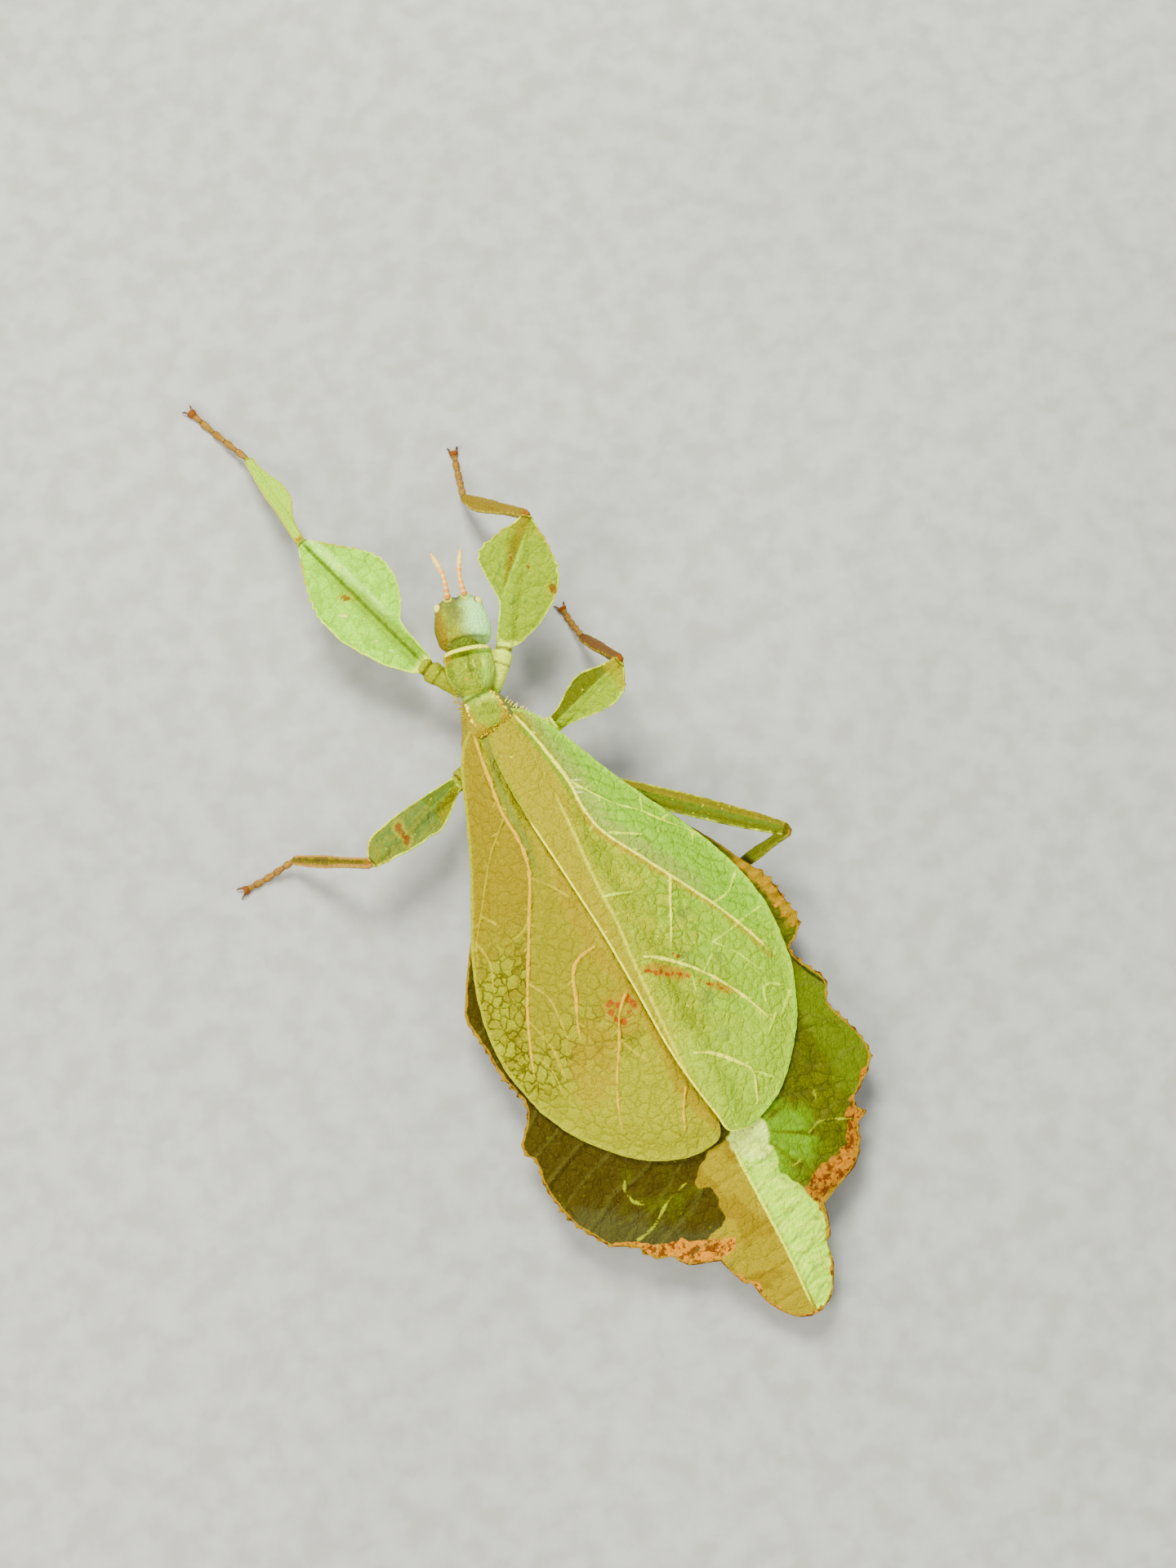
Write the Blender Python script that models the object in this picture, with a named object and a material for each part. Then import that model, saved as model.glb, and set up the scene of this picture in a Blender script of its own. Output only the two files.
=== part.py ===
"""Leaf insect, an adult female at rest with her wings closed, life size.

She faces +Y and rests on the plane z = 0, on her belly and six feet. Lengths are millimetres and become
metres where a mesh is made. On the body, x runs to the insect's right and y forward from the middle of the
wings' root. Profiles along the body are given by s = -y, the distance back from that root.
"""

import math

import bmesh
import bpy
from mathutils import Matrix, Vector
from mathutils.geometry import delaunay_2d_cdt

MM = 0.001

# Where the wings' root stands, so that the whole insect is centred on the origin
ROOT_AT = (4.79, 8.0)

# Clearances and thicknesses
GAP = 0.3
SMALL_GAP = 0.2
MEMBRANE = 0.55
LOBE = 0.8
WING_GAP = 0.42
VEIN_HEIGHT = 0.4
VEIN_HALF_WIDTH = 0.5
VEIN_FADE = 2.2

# Body in profile: the back's midline, the plane of the side lobes, the dome between them, and the belly
CROWN = (
    (-3, 7.7), (0, 7.9), (10, 8.3), (20, 8.8), (28, 8.9), (36, 8.2), (44, 6.7), (50, 5.5), (56, 4.6), (64, 2.9),
)
RIM = (
    (0, 6.6), (8, 6.5), (13, 6.2), (18, 5.5), (24, 4.8), (30, 4.6), (45, 4.4), (52, 4.1), (58, 3.4), (64, 2.3),
)
DOME = ((0, 5.5), (8, 8.5), (16, 11.5), (28, 13.5), (40, 12.5), (48, 9.5), (56, 6.0), (64, 2.6))
BELLY = ((9, 3.0), (13, 1.5), (18, 0.1), (22, -0.6), (40, -0.6), (45, 0.4), (51, 1.7), (57, 2.0), (64, 1.7))
BELLY_HALF_WIDTH = ((9, 4.4), (13, 5.6), (20, 7.4), (30, 8.0), (44, 7.0), (52, 5.4), (58, 3.6), (64, 1.4))
BACK_ROUNDNESS = 1.3
LOBE_DROOP = 0.6
LOBE_REACH = 17.0

# Abdomen in plan: half widths by distance back, with the notch between each segment's lobe and the next
ABDOMEN_FRONT = 9.7
ABDOMEN_REAR = 54.2
ABDOMEN_SHOULDER = ((4.6, 9.7), (6.6, 11.2), (9.6, 14.4), (12.7, 18.0))
ABDOMEN_SIDE = {
    1: (
        *ABDOMEN_SHOULDER, (15.4, 23.0), (16.5, 25.2), (16.9, 27.8), (17.1, 30.6), (15.9, 31.8), (14.9, 32.7),
        (15.5, 34.5), (16.4, 36.2), (16.4, 37.4), (15.6, 38.8), (16.0, 40.6), (16.8, 43.2), (16.7, 45.2),
        (15.4, 46.7), (13.8, 47.7), (12.9, 48.7), (13.4, 49.9), (12.3, 50.5), (11.5, 52.2), (9.9, 53.8),
        (6.4, 55.2),
    ),
    -1: (
        *ABDOMEN_SHOULDER, (15.4, 22.2), (16.1, 23.8), (15.8, 26.4), (15.6, 30.0), (14.9, 33.0), (15.4, 34.8),
        (17.0, 36.7), (17.2, 37.7), (16.6, 38.9), (17.0, 41.0), (16.7, 43.8), (16.1, 46.0), (15.0, 47.9),
        (14.2, 49.2), (12.7, 50.1), (12.0, 50.6), (11.1, 52.2), (9.5, 53.0), (8.6, 54.3), (6.4, 55.2),
    ),
}
TOOTH_PITCH = 2.1
TOOTH_DEPTH = 0.35
TOOTHED_FROM = 24.0
TOOTHED_TO = 54.0
ABDOMEN_MIDDLE = 35.0
TIP_SIDE = (
    (5.7, 55.5), (5.2, 57.2), (4.7, 58.4), (4.15, 58.7), (3.8, 60.4), (3.0, 62.1), (1.9, 63.4), (0.5, 64.1),
)
KEEL_HEIGHT = 0.3
KEEL_HALF_WIDTH = 0.6

# Wings in plan: the margin, each inner edge and the raised veins, as (x, s). The right wing laps the left
WING_MARGIN = (
    (2.3, -1.0), (3.8, 0.2), (5.1, 2.4), (6.6, 6.0), (8.3, 10.0), (10.2, 13.8), (12.4, 17.9), (14.3, 22.8),
    (15.1, 28.0), (14.4, 33.6), (12.6, 38.0), (10.2, 41.3), (7.5, 43.9), (4.7, 45.4), (2.4, 45.9),
)
WING_INNER = {
    1: (
        (0.6, 45.4), (0.2, 43.4), (-0.4, 40.0), (-0.8, 36.0), (-0.95, 29.0), (-1.2, 21.0), (-1.6, 15.0),
        (-1.6, 11.0), (-1.3, 7.0), (-0.9, 3.5), (-0.7, 0.8), (-0.5, -0.6),
    ),
    -1: (
        (0.4, 45.5), (-0.4, 43.5), (-0.5, 40.0), (-0.6, 34.0), (-0.8, 27.0), (-1.0, 20.0), (-1.2, 14.0),
        (-1.2, 10.0), (-0.3, 6.6), (1.2, 4.2), (1.6, 2.2), (1.5, -0.4),
    ),
}
LAP_INNER = 1.5
LAP_OUTER = 3.6
LAP_START = (1.5, 5.0)
MAIN_VEIN = (
    (2.2, -0.2), (2.8, 2.6), (3.2, 5.3), (3.6, 8.2), (3.5, 11.6), (4.1, 14.6), (5.9, 17.9), (7.7, 21.0),
    (9.2, 23.6), (10.8, 26.5), (12.2, 29.7), (13.1, 32.2),
)
OUTER_VEIN = ((4.3, 9.9), (5.6, 11.0), (7.8, 13.4), (10.3, 16.4), (12.2, 19.2), (13.5, 22.2))
VEINS = {
    1: (
        MAIN_VEIN, OUTER_VEIN,
        ((1.4, 27.4), (3.5, 28.7), (6.1, 31.4), (7.9, 34.1), (9.1, 36.7), (9.9, 38.9)),
        ((1.3, 37.4), (3.2, 38.7), (4.7, 40.5), (5.6, 42.3), (5.8, 43.9)),
        ((7.5, 21.9), (6.3, 23.9), (5.2, 26.0), (3.9, 28.2)),
    ),
    -1: (
        MAIN_VEIN, OUTER_VEIN,
        ((1.9, 29.6), (3.4, 31.2), (4.5, 33.3), (6.1, 35.7), (7.6, 38.8), (8.2, 40.9)),
        ((1.0, 39.9), (2.2, 41.7), (3.3, 44.2)),
        ((2.2, 24.0), (4.4, 24.6), (5.7, 25.8), (7.4, 27.9), (8.6, 30.8)),
    ),
}

# Thorax and head: stations of (y, half width, low, high) along each piece's own axis
HEAD_AT, HEAD_TURN = (1.5, 8.82), 16.8
PRONOTUM_AT, PRONOTUM_TURN = (-0.05, 3.95), 16.4
HEAD = (
    (0.0, 1.9, 5.7, 7.6), (0.45, 2.45, 5.2, 8.1), (0.95, 2.65, 4.9, 8.7), (1.9, 2.75, 4.6, 8.9),
    (3.1, 2.65, 4.6, 8.7), (4.2, 2.35, 4.9, 8.3), (5.0, 1.9, 5.4, 7.8), (5.4, 1.35, 6.1, 7.2),
)
PRONOTUM = (
    (0.0, 0.95, 5.1, 7.9), (0.3, 1.4, 4.8, 8.25), (1.2, 2.05, 4.6, 8.55), (2.5, 2.5, 4.6, 8.7),
    (3.7, 2.5, 4.6, 8.5), (4.05, 2.45, 4.7, 8.35), (4.35, 2.45, 4.8, 8.75), (4.7, 2.25, 5.0, 8.6),
)
MESOTHORAX = (
    (-2.4, 4.4, 4.0, 7.7), (-1.4, 4.3, 3.9, 7.7), (-0.5, 4.0, 4.0, 7.8), (-0.1, 3.8, 4.1, 8.4),
    (0.6, 3.5, 4.2, 8.7), (1.6, 2.9, 4.3, 8.6), (2.6, 2.4, 4.5, 8.55), (3.3, 2.0, 4.7, 8.4),
    (3.75, 1.6, 5.0, 8.0),
)
METATHORAX = ((-9.4, 4.3, 3.0, 8.0), (-8.0, 4.7, 2.7, 8.1), (-5.0, 4.7, 3.2, 7.9), (-2.7, 4.45, 3.9, 7.7))
SHIELD_HALF_WIDTH = 1.65
BLUNTNESS = 0.85
GROOVE_DEPTH = 0.05

EYE_RADIUS = 0.5
EYE_AT = (1.95, 4.35, 7.45)
ANTENNA_SEGMENTS = 9
ANTENNA_RADIUS = 0.3
ANTENNA_TAPER = 0.35
ANTENNA_BEADS = (0.8, 1.1)
ANTENNA_FROM = (0.85, 5.3, 7.1)
ANTENNA_TO = {"l": (-1.6, 9.8, 8.6), "r": (1.4, 9.7, 8.6)}
PALP = ((0.9, 3.6, 5.6), (1.15, 4.6, 4.5), (1.0, 5.7, 4.2), (0.8, 6.2, 4.6))
PALP_RADIUS = 0.33
LABRUM_AT = (0.0, 5.0, 5.3)
LABRUM_RADII = (0.85, 0.75, 0.9)
CERCUS = ((0.9, -61.2, 1.35), (1.05, -62.4, 1.2), (0.9, -63.7, 1.15))
CERCUS_RADII = (0.3, 0.38, 0.2)

# Legs: root in the body, femur's base, knee, ankle and toe; lobes as (share of length, width) on each side
LEGS = {
    "front_left": ((-1.0, 5.4, 5.5), (-2.85, 9.2, 5.8), (-7.87, 26.74, 6.5), (-8.13, 39.1, 1.5), (-11, 47.3, 0.35)),
    "front_right": ((1.2, 3.4, 5.4), (5.0, 7.5, 5.8), (12.6, 16.55, 12.0), (9.36, 24.7, 1.5), (11, 30.2, 0.35)),
    "mid_left": ((-3, -1.6, 5.2), (-5.3, -2.5, 5.3), (-16.99, -6.04, 7), (-23.4, -0.8, 1.5), (-29.2, -0.9, 0.35)),
    "mid_right": ((3, -1.4, 5.2), (5.3, -2.0, 5.5), (13.57, -0.64, 11), (12.87, 5.7, 1.6), (12.7, 9.9, 0.35)),
    "hind_left": ((-3, -6.2, 4), (-5, -7.9, 3.5), (-12.7, -25.6, 2.2), (-9.6, -36.4, 1.1), (-10.6, -42.6, 0.35)),
    "hind_right": ((3.2, -5.8, 4.2), (5.2, -7.5, 3.9), (19.9, -23, 9), (14.7, -22.6, 1.3), (9.9, -26.4, 0.35)),
}
FRONT_OUTER = (
    (0.0, 1.0), (0.1, 2.1), (0.2, 3.0), (0.33, 3.75), (0.45, 4.2), (0.57, 4.2), (0.68, 3.7), (0.79, 2.75),
    (0.89, 1.7), (0.98, 0.65),
)
FRONT_INNER = (
    (0.0, 0.95), (0.14, 1.2), (0.28, 1.45), (0.33, 2.2), (0.4, 3.4), (0.48, 4.2), (0.56, 4.55), (0.65, 4.45),
    (0.74, 3.7), (0.83, 2.6), (0.92, 1.5), (0.98, 0.7),
)
FRONT_INNER_TILTED = (
    (0.0, 0.9), (0.16, 1.0), (0.31, 1.2), (0.39, 1.85), (0.47, 2.8), (0.55, 3.6), (0.63, 4.0), (0.69, 3.9),
    (0.76, 3.2), (0.85, 2.2), (0.93, 1.1), (0.98, 0.65),
)
MID_FORWARD = ((0.0, 0.7), (0.25, 1.25), (0.53, 1.8), (0.7, 1.95), (0.84, 1.95), (0.93, 1.35), (0.99, 0.65))
MID_BACKWARD = (
    (0.0, 0.7), (0.1, 0.8), (0.2, 1.45), (0.39, 2.3), (0.5, 2.1), (0.69, 1.75), (0.92, 0.85), (0.99, 0.65),
)
MID_NARROW = (
    (0.0, 0.65), (0.18, 1.0), (0.34, 1.55), (0.49, 1.9), (0.62, 1.8), (0.79, 1.05), (0.9, 0.65), (0.99, 0.6),
)
MID_WIDE = (
    (0.0, 0.65), (0.22, 1.3), (0.37, 1.9), (0.52, 2.4), (0.68, 2.75), (0.82, 2.45), (0.91, 1.7), (0.99, 0.8),
)
HIND_LOBE = ((0.0, 0.7), (0.2, 0.95), (0.5, 1.1), (0.8, 0.95), (0.99, 0.65))
SHANK_LOBE = (
    (0.0, 0.5), (0.15, 0.55), (0.28, 0.85), (0.43, 1.6), (0.6, 1.6), (0.75, 1.05), (0.87, 0.6), (0.99, 0.5),
)
SHANK_LOBE_TILTED = ((0, 0.5), (0.25, 0.55), (0.45, 0.85), (0.65, 1.1), (0.8, 1.0), (0.93, 0.6), (0.99, 0.5))
PLAIN_SHANK = ((0.0, 0.5), (0.35, 0.5), (0.6, 0.65), (0.99, 0.5))
FEMUR_LOBES = {
    "front_left": (FRONT_OUTER, FRONT_INNER), "front_right": (FRONT_INNER_TILTED, FRONT_OUTER),
    "mid_left": (MID_BACKWARD, MID_FORWARD), "mid_right": (MID_NARROW, MID_WIDE),
    "hind_left": (HIND_LOBE, HIND_LOBE), "hind_right": (HIND_LOBE, HIND_LOBE),
}
TIBIA_LOBES = {"front_left": (PLAIN_SHANK, SHANK_LOBE), "front_right": (SHANK_LOBE_TILTED, PLAIN_SHANK)}
FEMUR_TEETH = {"front": (0.55, 0.93), "mid": (0.76, 0.94)}
LEAF_TOOTH_PITCH = 1.7
LEAF_TOOTH_DEPTH = 0.3
FEMUR_CORE = 0.62
SHANK_RADIUS = 0.45
CORE_TAPER = 0.35
LEAF_EDGE = 0.27
COXA_RADIUS = 1.1
COXA_NECK = 0.6
TARSUS_SEGMENTS = 5
TARSUS_RADIUS = 0.34
SEGMENT_SWELL = (0.72, 1.0, 1.05)
PAD_SWELL = 1.5
CLAW_LENGTH = 0.9
CLAW_RADIUS = 0.2

COLOURS = {
    "wing_left": (0.55, 0.52, 0.07), "wing_right": (0.47, 0.60, 0.12), "lobes": (0.14, 0.24, 0.03),
    "tail": (0.48, 0.52, 0.12), "head": (0.34, 0.40, 0.18), "thorax": (0.38, 0.46, 0.10),
    "leaf": (0.42, 0.55, 0.10), "shank": (0.28, 0.22, 0.07), "feeler": (0.75, 0.42, 0.24),
    "eye": (0.80, 0.74, 0.42),
}


def smooth(points, at):
    """The value at a place on the smooth curve through (place, value) points, which nowhere overshoots them."""
    if at <= points[0][0]:
        return points[0][1]
    if at >= points[-1][0]:
        return points[-1][1]
    slopes = [(b[1] - a[1]) / (b[0] - a[0]) for a, b in zip(points, points[1:])]
    i = next(k for k in range(len(slopes)) if at <= points[k + 1][0])

    def tangent(k):
        if k == 0 or k == len(slopes):
            return slopes[min(k, len(slopes) - 1)]
        before, after = slopes[k - 1], slopes[k]
        return 0.0 if before * after <= 0 else 2 * before * after / (before + after)

    width = points[i + 1][0] - points[i][0]
    t = (at - points[i][0]) / width
    start, end = points[i][1], points[i + 1][1]
    rise = end - start
    return (
        start
        + t * width * tangent(i) * (1 - t) ** 2
        + rise * t * t * (3 - 2 * t)
        - t * t * (1 - t) * width * tangent(i + 1)
    )


def ease(low, high, value):
    """0 below low, 1 above high, and smooth between them."""
    t = min(max((value - low) / (high - low), 0.0), 1.0)
    return t * t * (3 - 2 * t)


def spline(points, spacing):
    """A line through the points, bent smoothly at each and read at about equal steps."""
    points = [Vector(p) for p in points]
    ends = [2 * points[0] - points[1], *points, 2 * points[-1] - points[-2]]
    fine = [points[0]]
    for a, b, c, d in zip(ends, ends[1:], ends[2:], ends[3:]):
        for k in range(1, 9):
            t = k / 8
            bend, twist = 2 * a - 5 * b + 4 * c - d, 3 * b - a - 3 * c + d
            fine.append(0.5 * (2 * b + (c - a) * t + bend * t**2 + twist * t**3))
    length = sum((b - a).length for a, b in zip(fine, fine[1:]))
    count = max(1, round(length / spacing))
    step, run, line = length / count, 0.0, [fine[0]]
    for a, b in zip(fine, fine[1:]):
        piece = (b - a).length
        while len(line) < count and run + piece >= step * len(line):
            line.append(a.lerp(b, (step * len(line) - run) / piece))
        run += piece
    return line + [fine[-1]]


def stations_on(path, count):
    """Points of a fine path at equal shares of it."""
    return [path[round(k * (len(path) - 1) / count)] for k in range(count + 1)]


def distance_to_line(at, line):
    """How far a point of the plan lies from a line."""
    nearest = math.inf
    for a, b in zip(line, line[1:]):
        along = b - a
        t = min(max((at - a).dot(along) / along.length_squared, 0.0), 1.0)
        nearest = min(nearest, (at - a - t * along).length)
    return nearest


def material(name, colour, roughness=0.5):
    made = bpy.data.materials.get(name) or bpy.data.materials.new(name)
    made.use_nodes = True
    shader = made.node_tree.nodes["Principled BSDF"]
    shader.inputs["Base Color"].default_value = (*colour, 1)
    shader.inputs["Roughness"].default_value = roughness
    shader.inputs["Metallic"].default_value = 0
    made.diffuse_color = (*colour, 1)
    return made


def add_part(name, bm, look, place=None):
    """Turns a mesh in millimetres into a named part on the insect's body."""
    bmesh.ops.recalc_face_normals(bm, faces=bm.faces)
    bmesh.ops.scale(bm, vec=(MM, MM, MM), verts=bm.verts)
    mesh = bpy.data.meshes.new(name)
    bm.to_mesh(mesh)
    bm.free()
    mesh.shade_smooth()
    mesh.set_sharp_from_angle(angle=math.radians(40))
    mesh.materials.append(material(look, COLOURS[look]))
    part = bpy.data.objects.new(name, mesh)
    bpy.data.collections["leaf_insect"].objects.link(part)
    part.parent = bpy.data.objects["body_place"]
    if place is not None:
        part.matrix_basis = Matrix.LocRotScale(place.to_translation() * MM, place.to_quaternion(), None)
    return part


def plate(name, outline, lines, spacing, top, bottom, look, place=None):
    """A leaf-like solid, filled with triangles that follow its lines and are the same on both faces."""
    points, edges = list(outline), [(i, (i + 1) % len(outline)) for i in range(len(outline))]
    for line in lines:
        edges += [(len(points) + i, len(points) + i + 1) for i in range(len(line) - 1)]
        points += line
    fixed = list(points)
    low = Vector((min(p.x for p in outline), min(p.y for p in outline)))
    high = Vector((max(p.x for p in outline), max(p.y for p in outline)))
    row_height = spacing * math.sqrt(0.75)
    for row in range(int((high.y - low.y) / row_height) + 1):
        for column in range(int((high.x - low.x) / spacing) + 1):
            at = low + Vector((spacing * (column + 0.5 * (row % 2)), row_height * row))
            if all((at - p).length > 0.6 * spacing for p in fixed):
                points.append(at)
    spots, _, faces, *_ = delaunay_2d_cdt(points, edges, [list(range(len(outline)))], 1, 1e-4)
    used = sorted({i for face in faces for i in face})
    bm = bmesh.new()
    over = {i: bm.verts.new((*spots[i], top(*spots[i]))) for i in used}
    under = {i: bm.verts.new((*spots[i], bottom(*spots[i]))) for i in used}
    sides = set()
    for face in faces:
        sides |= {(face[k], face[(k + 1) % 3]) for k in range(3)}
        bm.faces.new([over[i] for i in face])
        bm.faces.new([under[i] for i in reversed(face)])
    for a, b in sorted(sides):
        if (b, a) not in sides:
            bm.faces.new((over[b], over[a], under[a]))
            bm.faces.new((over[b], under[a], under[b]))
    return add_part(name, bm, look, place)


def ring_solid(name, rings, look, place=None):
    """A closed solid through rings of equal counts of points."""
    bm = bmesh.new()
    made = [[bm.verts.new(point) for point in ring] for ring in rings]
    for first, second in zip(made, made[1:]):
        for k in range(len(first)):
            after = (k + 1) % len(first)
            bm.faces.new((first[k], first[after], second[after], second[k]))
    bm.faces.new(list(reversed(made[0])))
    bm.faces.new(made[-1])
    bmesh.ops.triangulate(bm, faces=bm.faces)
    return add_part(name, bm, look, place)


def round_section(_half_width):
    """Half of a blunt oval, from the top round to the bottom, as shares of half width and height."""
    angles = [math.pi * k / 10 for k in range(11)]
    return [
        (abs(math.sin(a)) ** BLUNTNESS, 0.5 + 0.5 * math.copysign(abs(math.cos(a)) ** BLUNTNESS, math.cos(a)))
        for a in angles
    ]


def grooved_section(half_width):
    """The blunt oval with a furrow along its back."""
    section = round_section(half_width)
    (_, top), *rest = section
    return [(0.0, top - GROOVE_DEPTH), (0.12, top - 0.2 * GROOVE_DEPTH), *rest]


def shield_section(half_width):
    """A raised shield of even width on the back, with the flanks sloping down from its edges."""
    edge = min(SHIELD_HALF_WIDTH / half_width, 0.9)
    return [
        (0, 1), (0.6 * edge, 0.99), (edge, 0.93), (edge + 0.04, 0.8), (0.5 * (1 + edge), 0.62), (1, 0.42),
        (0.9, 0.2), (0.55, 0.03), (0, 0),
    ]


def loft(name, stations, section, look, place=None):
    """A body piece along +Y, whose half section is scaled to each station's half width, low and high."""
    rows = [list(zip([s[0] for s in stations], [s[k] for s in stations])) for k in (1, 2, 3)]
    along = [stations[0][0]]
    for before, after in zip(stations, stations[1:]):
        along += [0.5 * (before[0] + after[0]), after[0]]
    rings = []
    for y in along:
        half_width, low, high = (smooth(row, y) for row in rows)
        half = section(half_width)
        around = [(u, v) for u, v in half] + [(-u, v) for u, v in half[-2:0:-1]]
        rings.append([Vector((u * half_width, y, low + v * (high - low))) for u, v in around])
    return ring_solid(name, rings, look, place)


def tube_rings(path, radii, sides=8):
    """Rings of given radius across a path, none of them below the floor."""
    rings = []
    for k, at in enumerate(path):
        along = (path[min(k + 1, len(path) - 1)] - path[max(k - 1, 0)]).normalized()
        side = along.cross(Vector((0, 0, 1))).normalized()
        up = side.cross(along)
        ring = []
        for n in range(sides):
            angle = 2 * math.pi * (n + 0.5) / sides
            point = at + radii[k] * (math.cos(angle) * side + math.sin(angle) * up)
            point.z = max(point.z, 0.0)
            ring.append(point)
        rings.append(ring)
    return rings


def ball(name, centre, radii, look, place):
    bm = bmesh.new()
    bmesh.ops.create_uvsphere(bm, u_segments=12, v_segments=8, radius=1)
    bmesh.ops.scale(bm, vec=radii, verts=bm.verts)
    bmesh.ops.translate(bm, vec=centre, verts=bm.verts)
    return add_part(name, bm, look, place)


def read_mesh(part):
    """The part's mesh with its modifiers applied."""
    bpy.context.view_layer.update()
    graph = bpy.context.evaluated_depsgraph_get()
    return bpy.data.meshes.new_from_object(part.evaluated_get(graph), depsgraph=graph)


def keep_largest(mesh):
    """Drops all but the largest closed surface of a mesh."""
    bm = bmesh.new()
    bm.from_mesh(mesh)
    left, shells = set(bm.verts), []
    while left:
        shell, reached = set(), [left.pop()]
        while reached:
            vert = reached.pop()
            shell.add(vert)
            near = {edge.other_vert(vert) for edge in vert.link_edges} & left
            left -= near
            reached += near
        shells.append(shell)
    shells.sort(key=lambda shell: -sum(face.calc_area() for face in {f for v in shell for f in v.link_faces}))
    for shell in shells[1:]:
        bmesh.ops.delete(bm, geom=list(shell), context="VERTS")
    bm.to_mesh(mesh)
    bm.free()


def seat(part, neighbour, gap=GAP):
    """Cuts a part clear of its neighbour by the gap, so that the two meet face to face."""
    cutter = neighbour.copy()
    cutter.data = neighbour.data.copy()
    cutter.name = "cutter"
    for vert in cutter.data.vertices:
        vert.co += vert.normal * gap * MM
    cutter.hide_render = True
    cutter.display_type = "WIRE"
    bpy.data.collections["cutters"].objects.link(cutter)
    cut = part.modifiers.new("Seat", "BOOLEAN")
    cut.operation = "DIFFERENCE"
    cut.object = cutter
    mesh = read_mesh(part)
    part.modifiers.clear()
    part.data = mesh
    keep_largest(mesh)
    bpy.data.objects.remove(cutter)


def fuse(part, pieces):
    """Joins closed pieces to a part by one union."""
    group = bpy.data.collections.new("pieces")
    bpy.context.scene.collection.children.link(group)
    for piece in pieces:
        bpy.data.collections["leaf_insect"].objects.unlink(piece)
        group.objects.link(piece)
    union = part.modifiers.new("Join", "BOOLEAN")
    union.operation = "UNION"
    union.operand_type = "COLLECTION"
    union.collection = group
    mesh = read_mesh(part)
    part.modifiers.clear()
    part.data = mesh
    keep_largest(mesh)
    for piece in pieces:
        bpy.data.objects.remove(piece)
    bpy.data.collections.remove(group)


def back_height(x, y):
    """Height of the body's back, from its crown out over the side lobes."""
    s = -y
    rim = smooth(RIM, s)
    across = min(abs(x) / smooth(DOME, s), 1.0)
    droop = LOBE_DROOP * (x / LOBE_REACH) ** 2
    return rim - droop + (smooth(CROWN, s) - rim) * (1 - across * across) ** BACK_ROUNDNESS


def belly_height(x, y):
    """Height of the body's underside: thin lobes at the sides and a full belly that touches the floor."""
    s = -y
    lobe = back_height(x, y) - LOBE
    plane = smooth(RIM, s) - LOBE - LOBE_DROOP * (x / LOBE_REACH) ** 2
    across = min(abs(x) / smooth(BELLY_HALF_WIDTH, s), 1.0)
    full = plane + (smooth(BELLY, s) - plane) * (1 - across * across)
    return max(min(lobe, full), 0.0)


def at_back(points, side=1):
    """Plan points given as (x, s), as vectors on the insect's right or left."""
    return [Vector((side * x, -s)) for x, s in points]


def toothed(line, middle, depth, has_teeth):
    """Moves every other point of a margin away from its middle, where it has teeth."""
    made = []
    for k, point in enumerate(line):
        reach = depth if k % 2 and has_teeth(point) else 0.0
        made.append(point + reach * (point - middle).normalized())
    return made


def make_abdomen():
    sides = [
        toothed(
            spline(at_back(ABDOMEN_SIDE[side], side), TOOTH_PITCH / 2),
            Vector((0, -ABDOMEN_MIDDLE)),
            TOOTH_DEPTH,
            lambda p: TOOTHED_FROM < -p.y < TOOTHED_TO,
        )
        for side in (1, -1)
    ]
    lines = [spline([Vector((0, -ABDOMEN_FRONT - 1)), Vector((0, -ABDOMEN_REAR))], 2.4)]
    for share in (0.33, 0.7, 1.0):
        for side in (-1, 1):
            stations = range(12, round(ABDOMEN_REAR), 3)
            lines.append([Vector((side * share * smooth(BELLY_HALF_WIDTH, s), -s)) for s in stations])
    return plate("abdomen", sides[0] + sides[1][::-1], lines, 2.4, back_height, belly_height, "lobes")


def make_abdomen_tip():
    outline = spline(at_back(TIP_SIDE), 0.9) + spline(at_back(TIP_SIDE, -1), 0.9)[::-1]
    keel = spline([Vector((0, -56.0)), Vector((0, -63.4))], 1.4)

    def top(x, y):
        return back_height(x, y) + KEEL_HEIGHT * max(0.0, 1 - abs(x) / KEEL_HALF_WIDTH)

    feet = [[p + Vector((offset, 0)) for p in keel] for offset in (-KEEL_HALF_WIDTH, KEEL_HALF_WIDTH)]
    return plate("abdomen_tip", outline, [keel, *feet], 1.5, top, belly_height, "tail")


def vein_foot(vein, offset):
    """The line that runs beside a vein."""
    foot = []
    for k, point in enumerate(vein):
        along = (vein[min(k + 1, len(vein) - 1)] - vein[max(k - 1, 0)]).normalized()
        foot.append(point + offset * Vector((-along.y, along.x)))
    return foot


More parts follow.
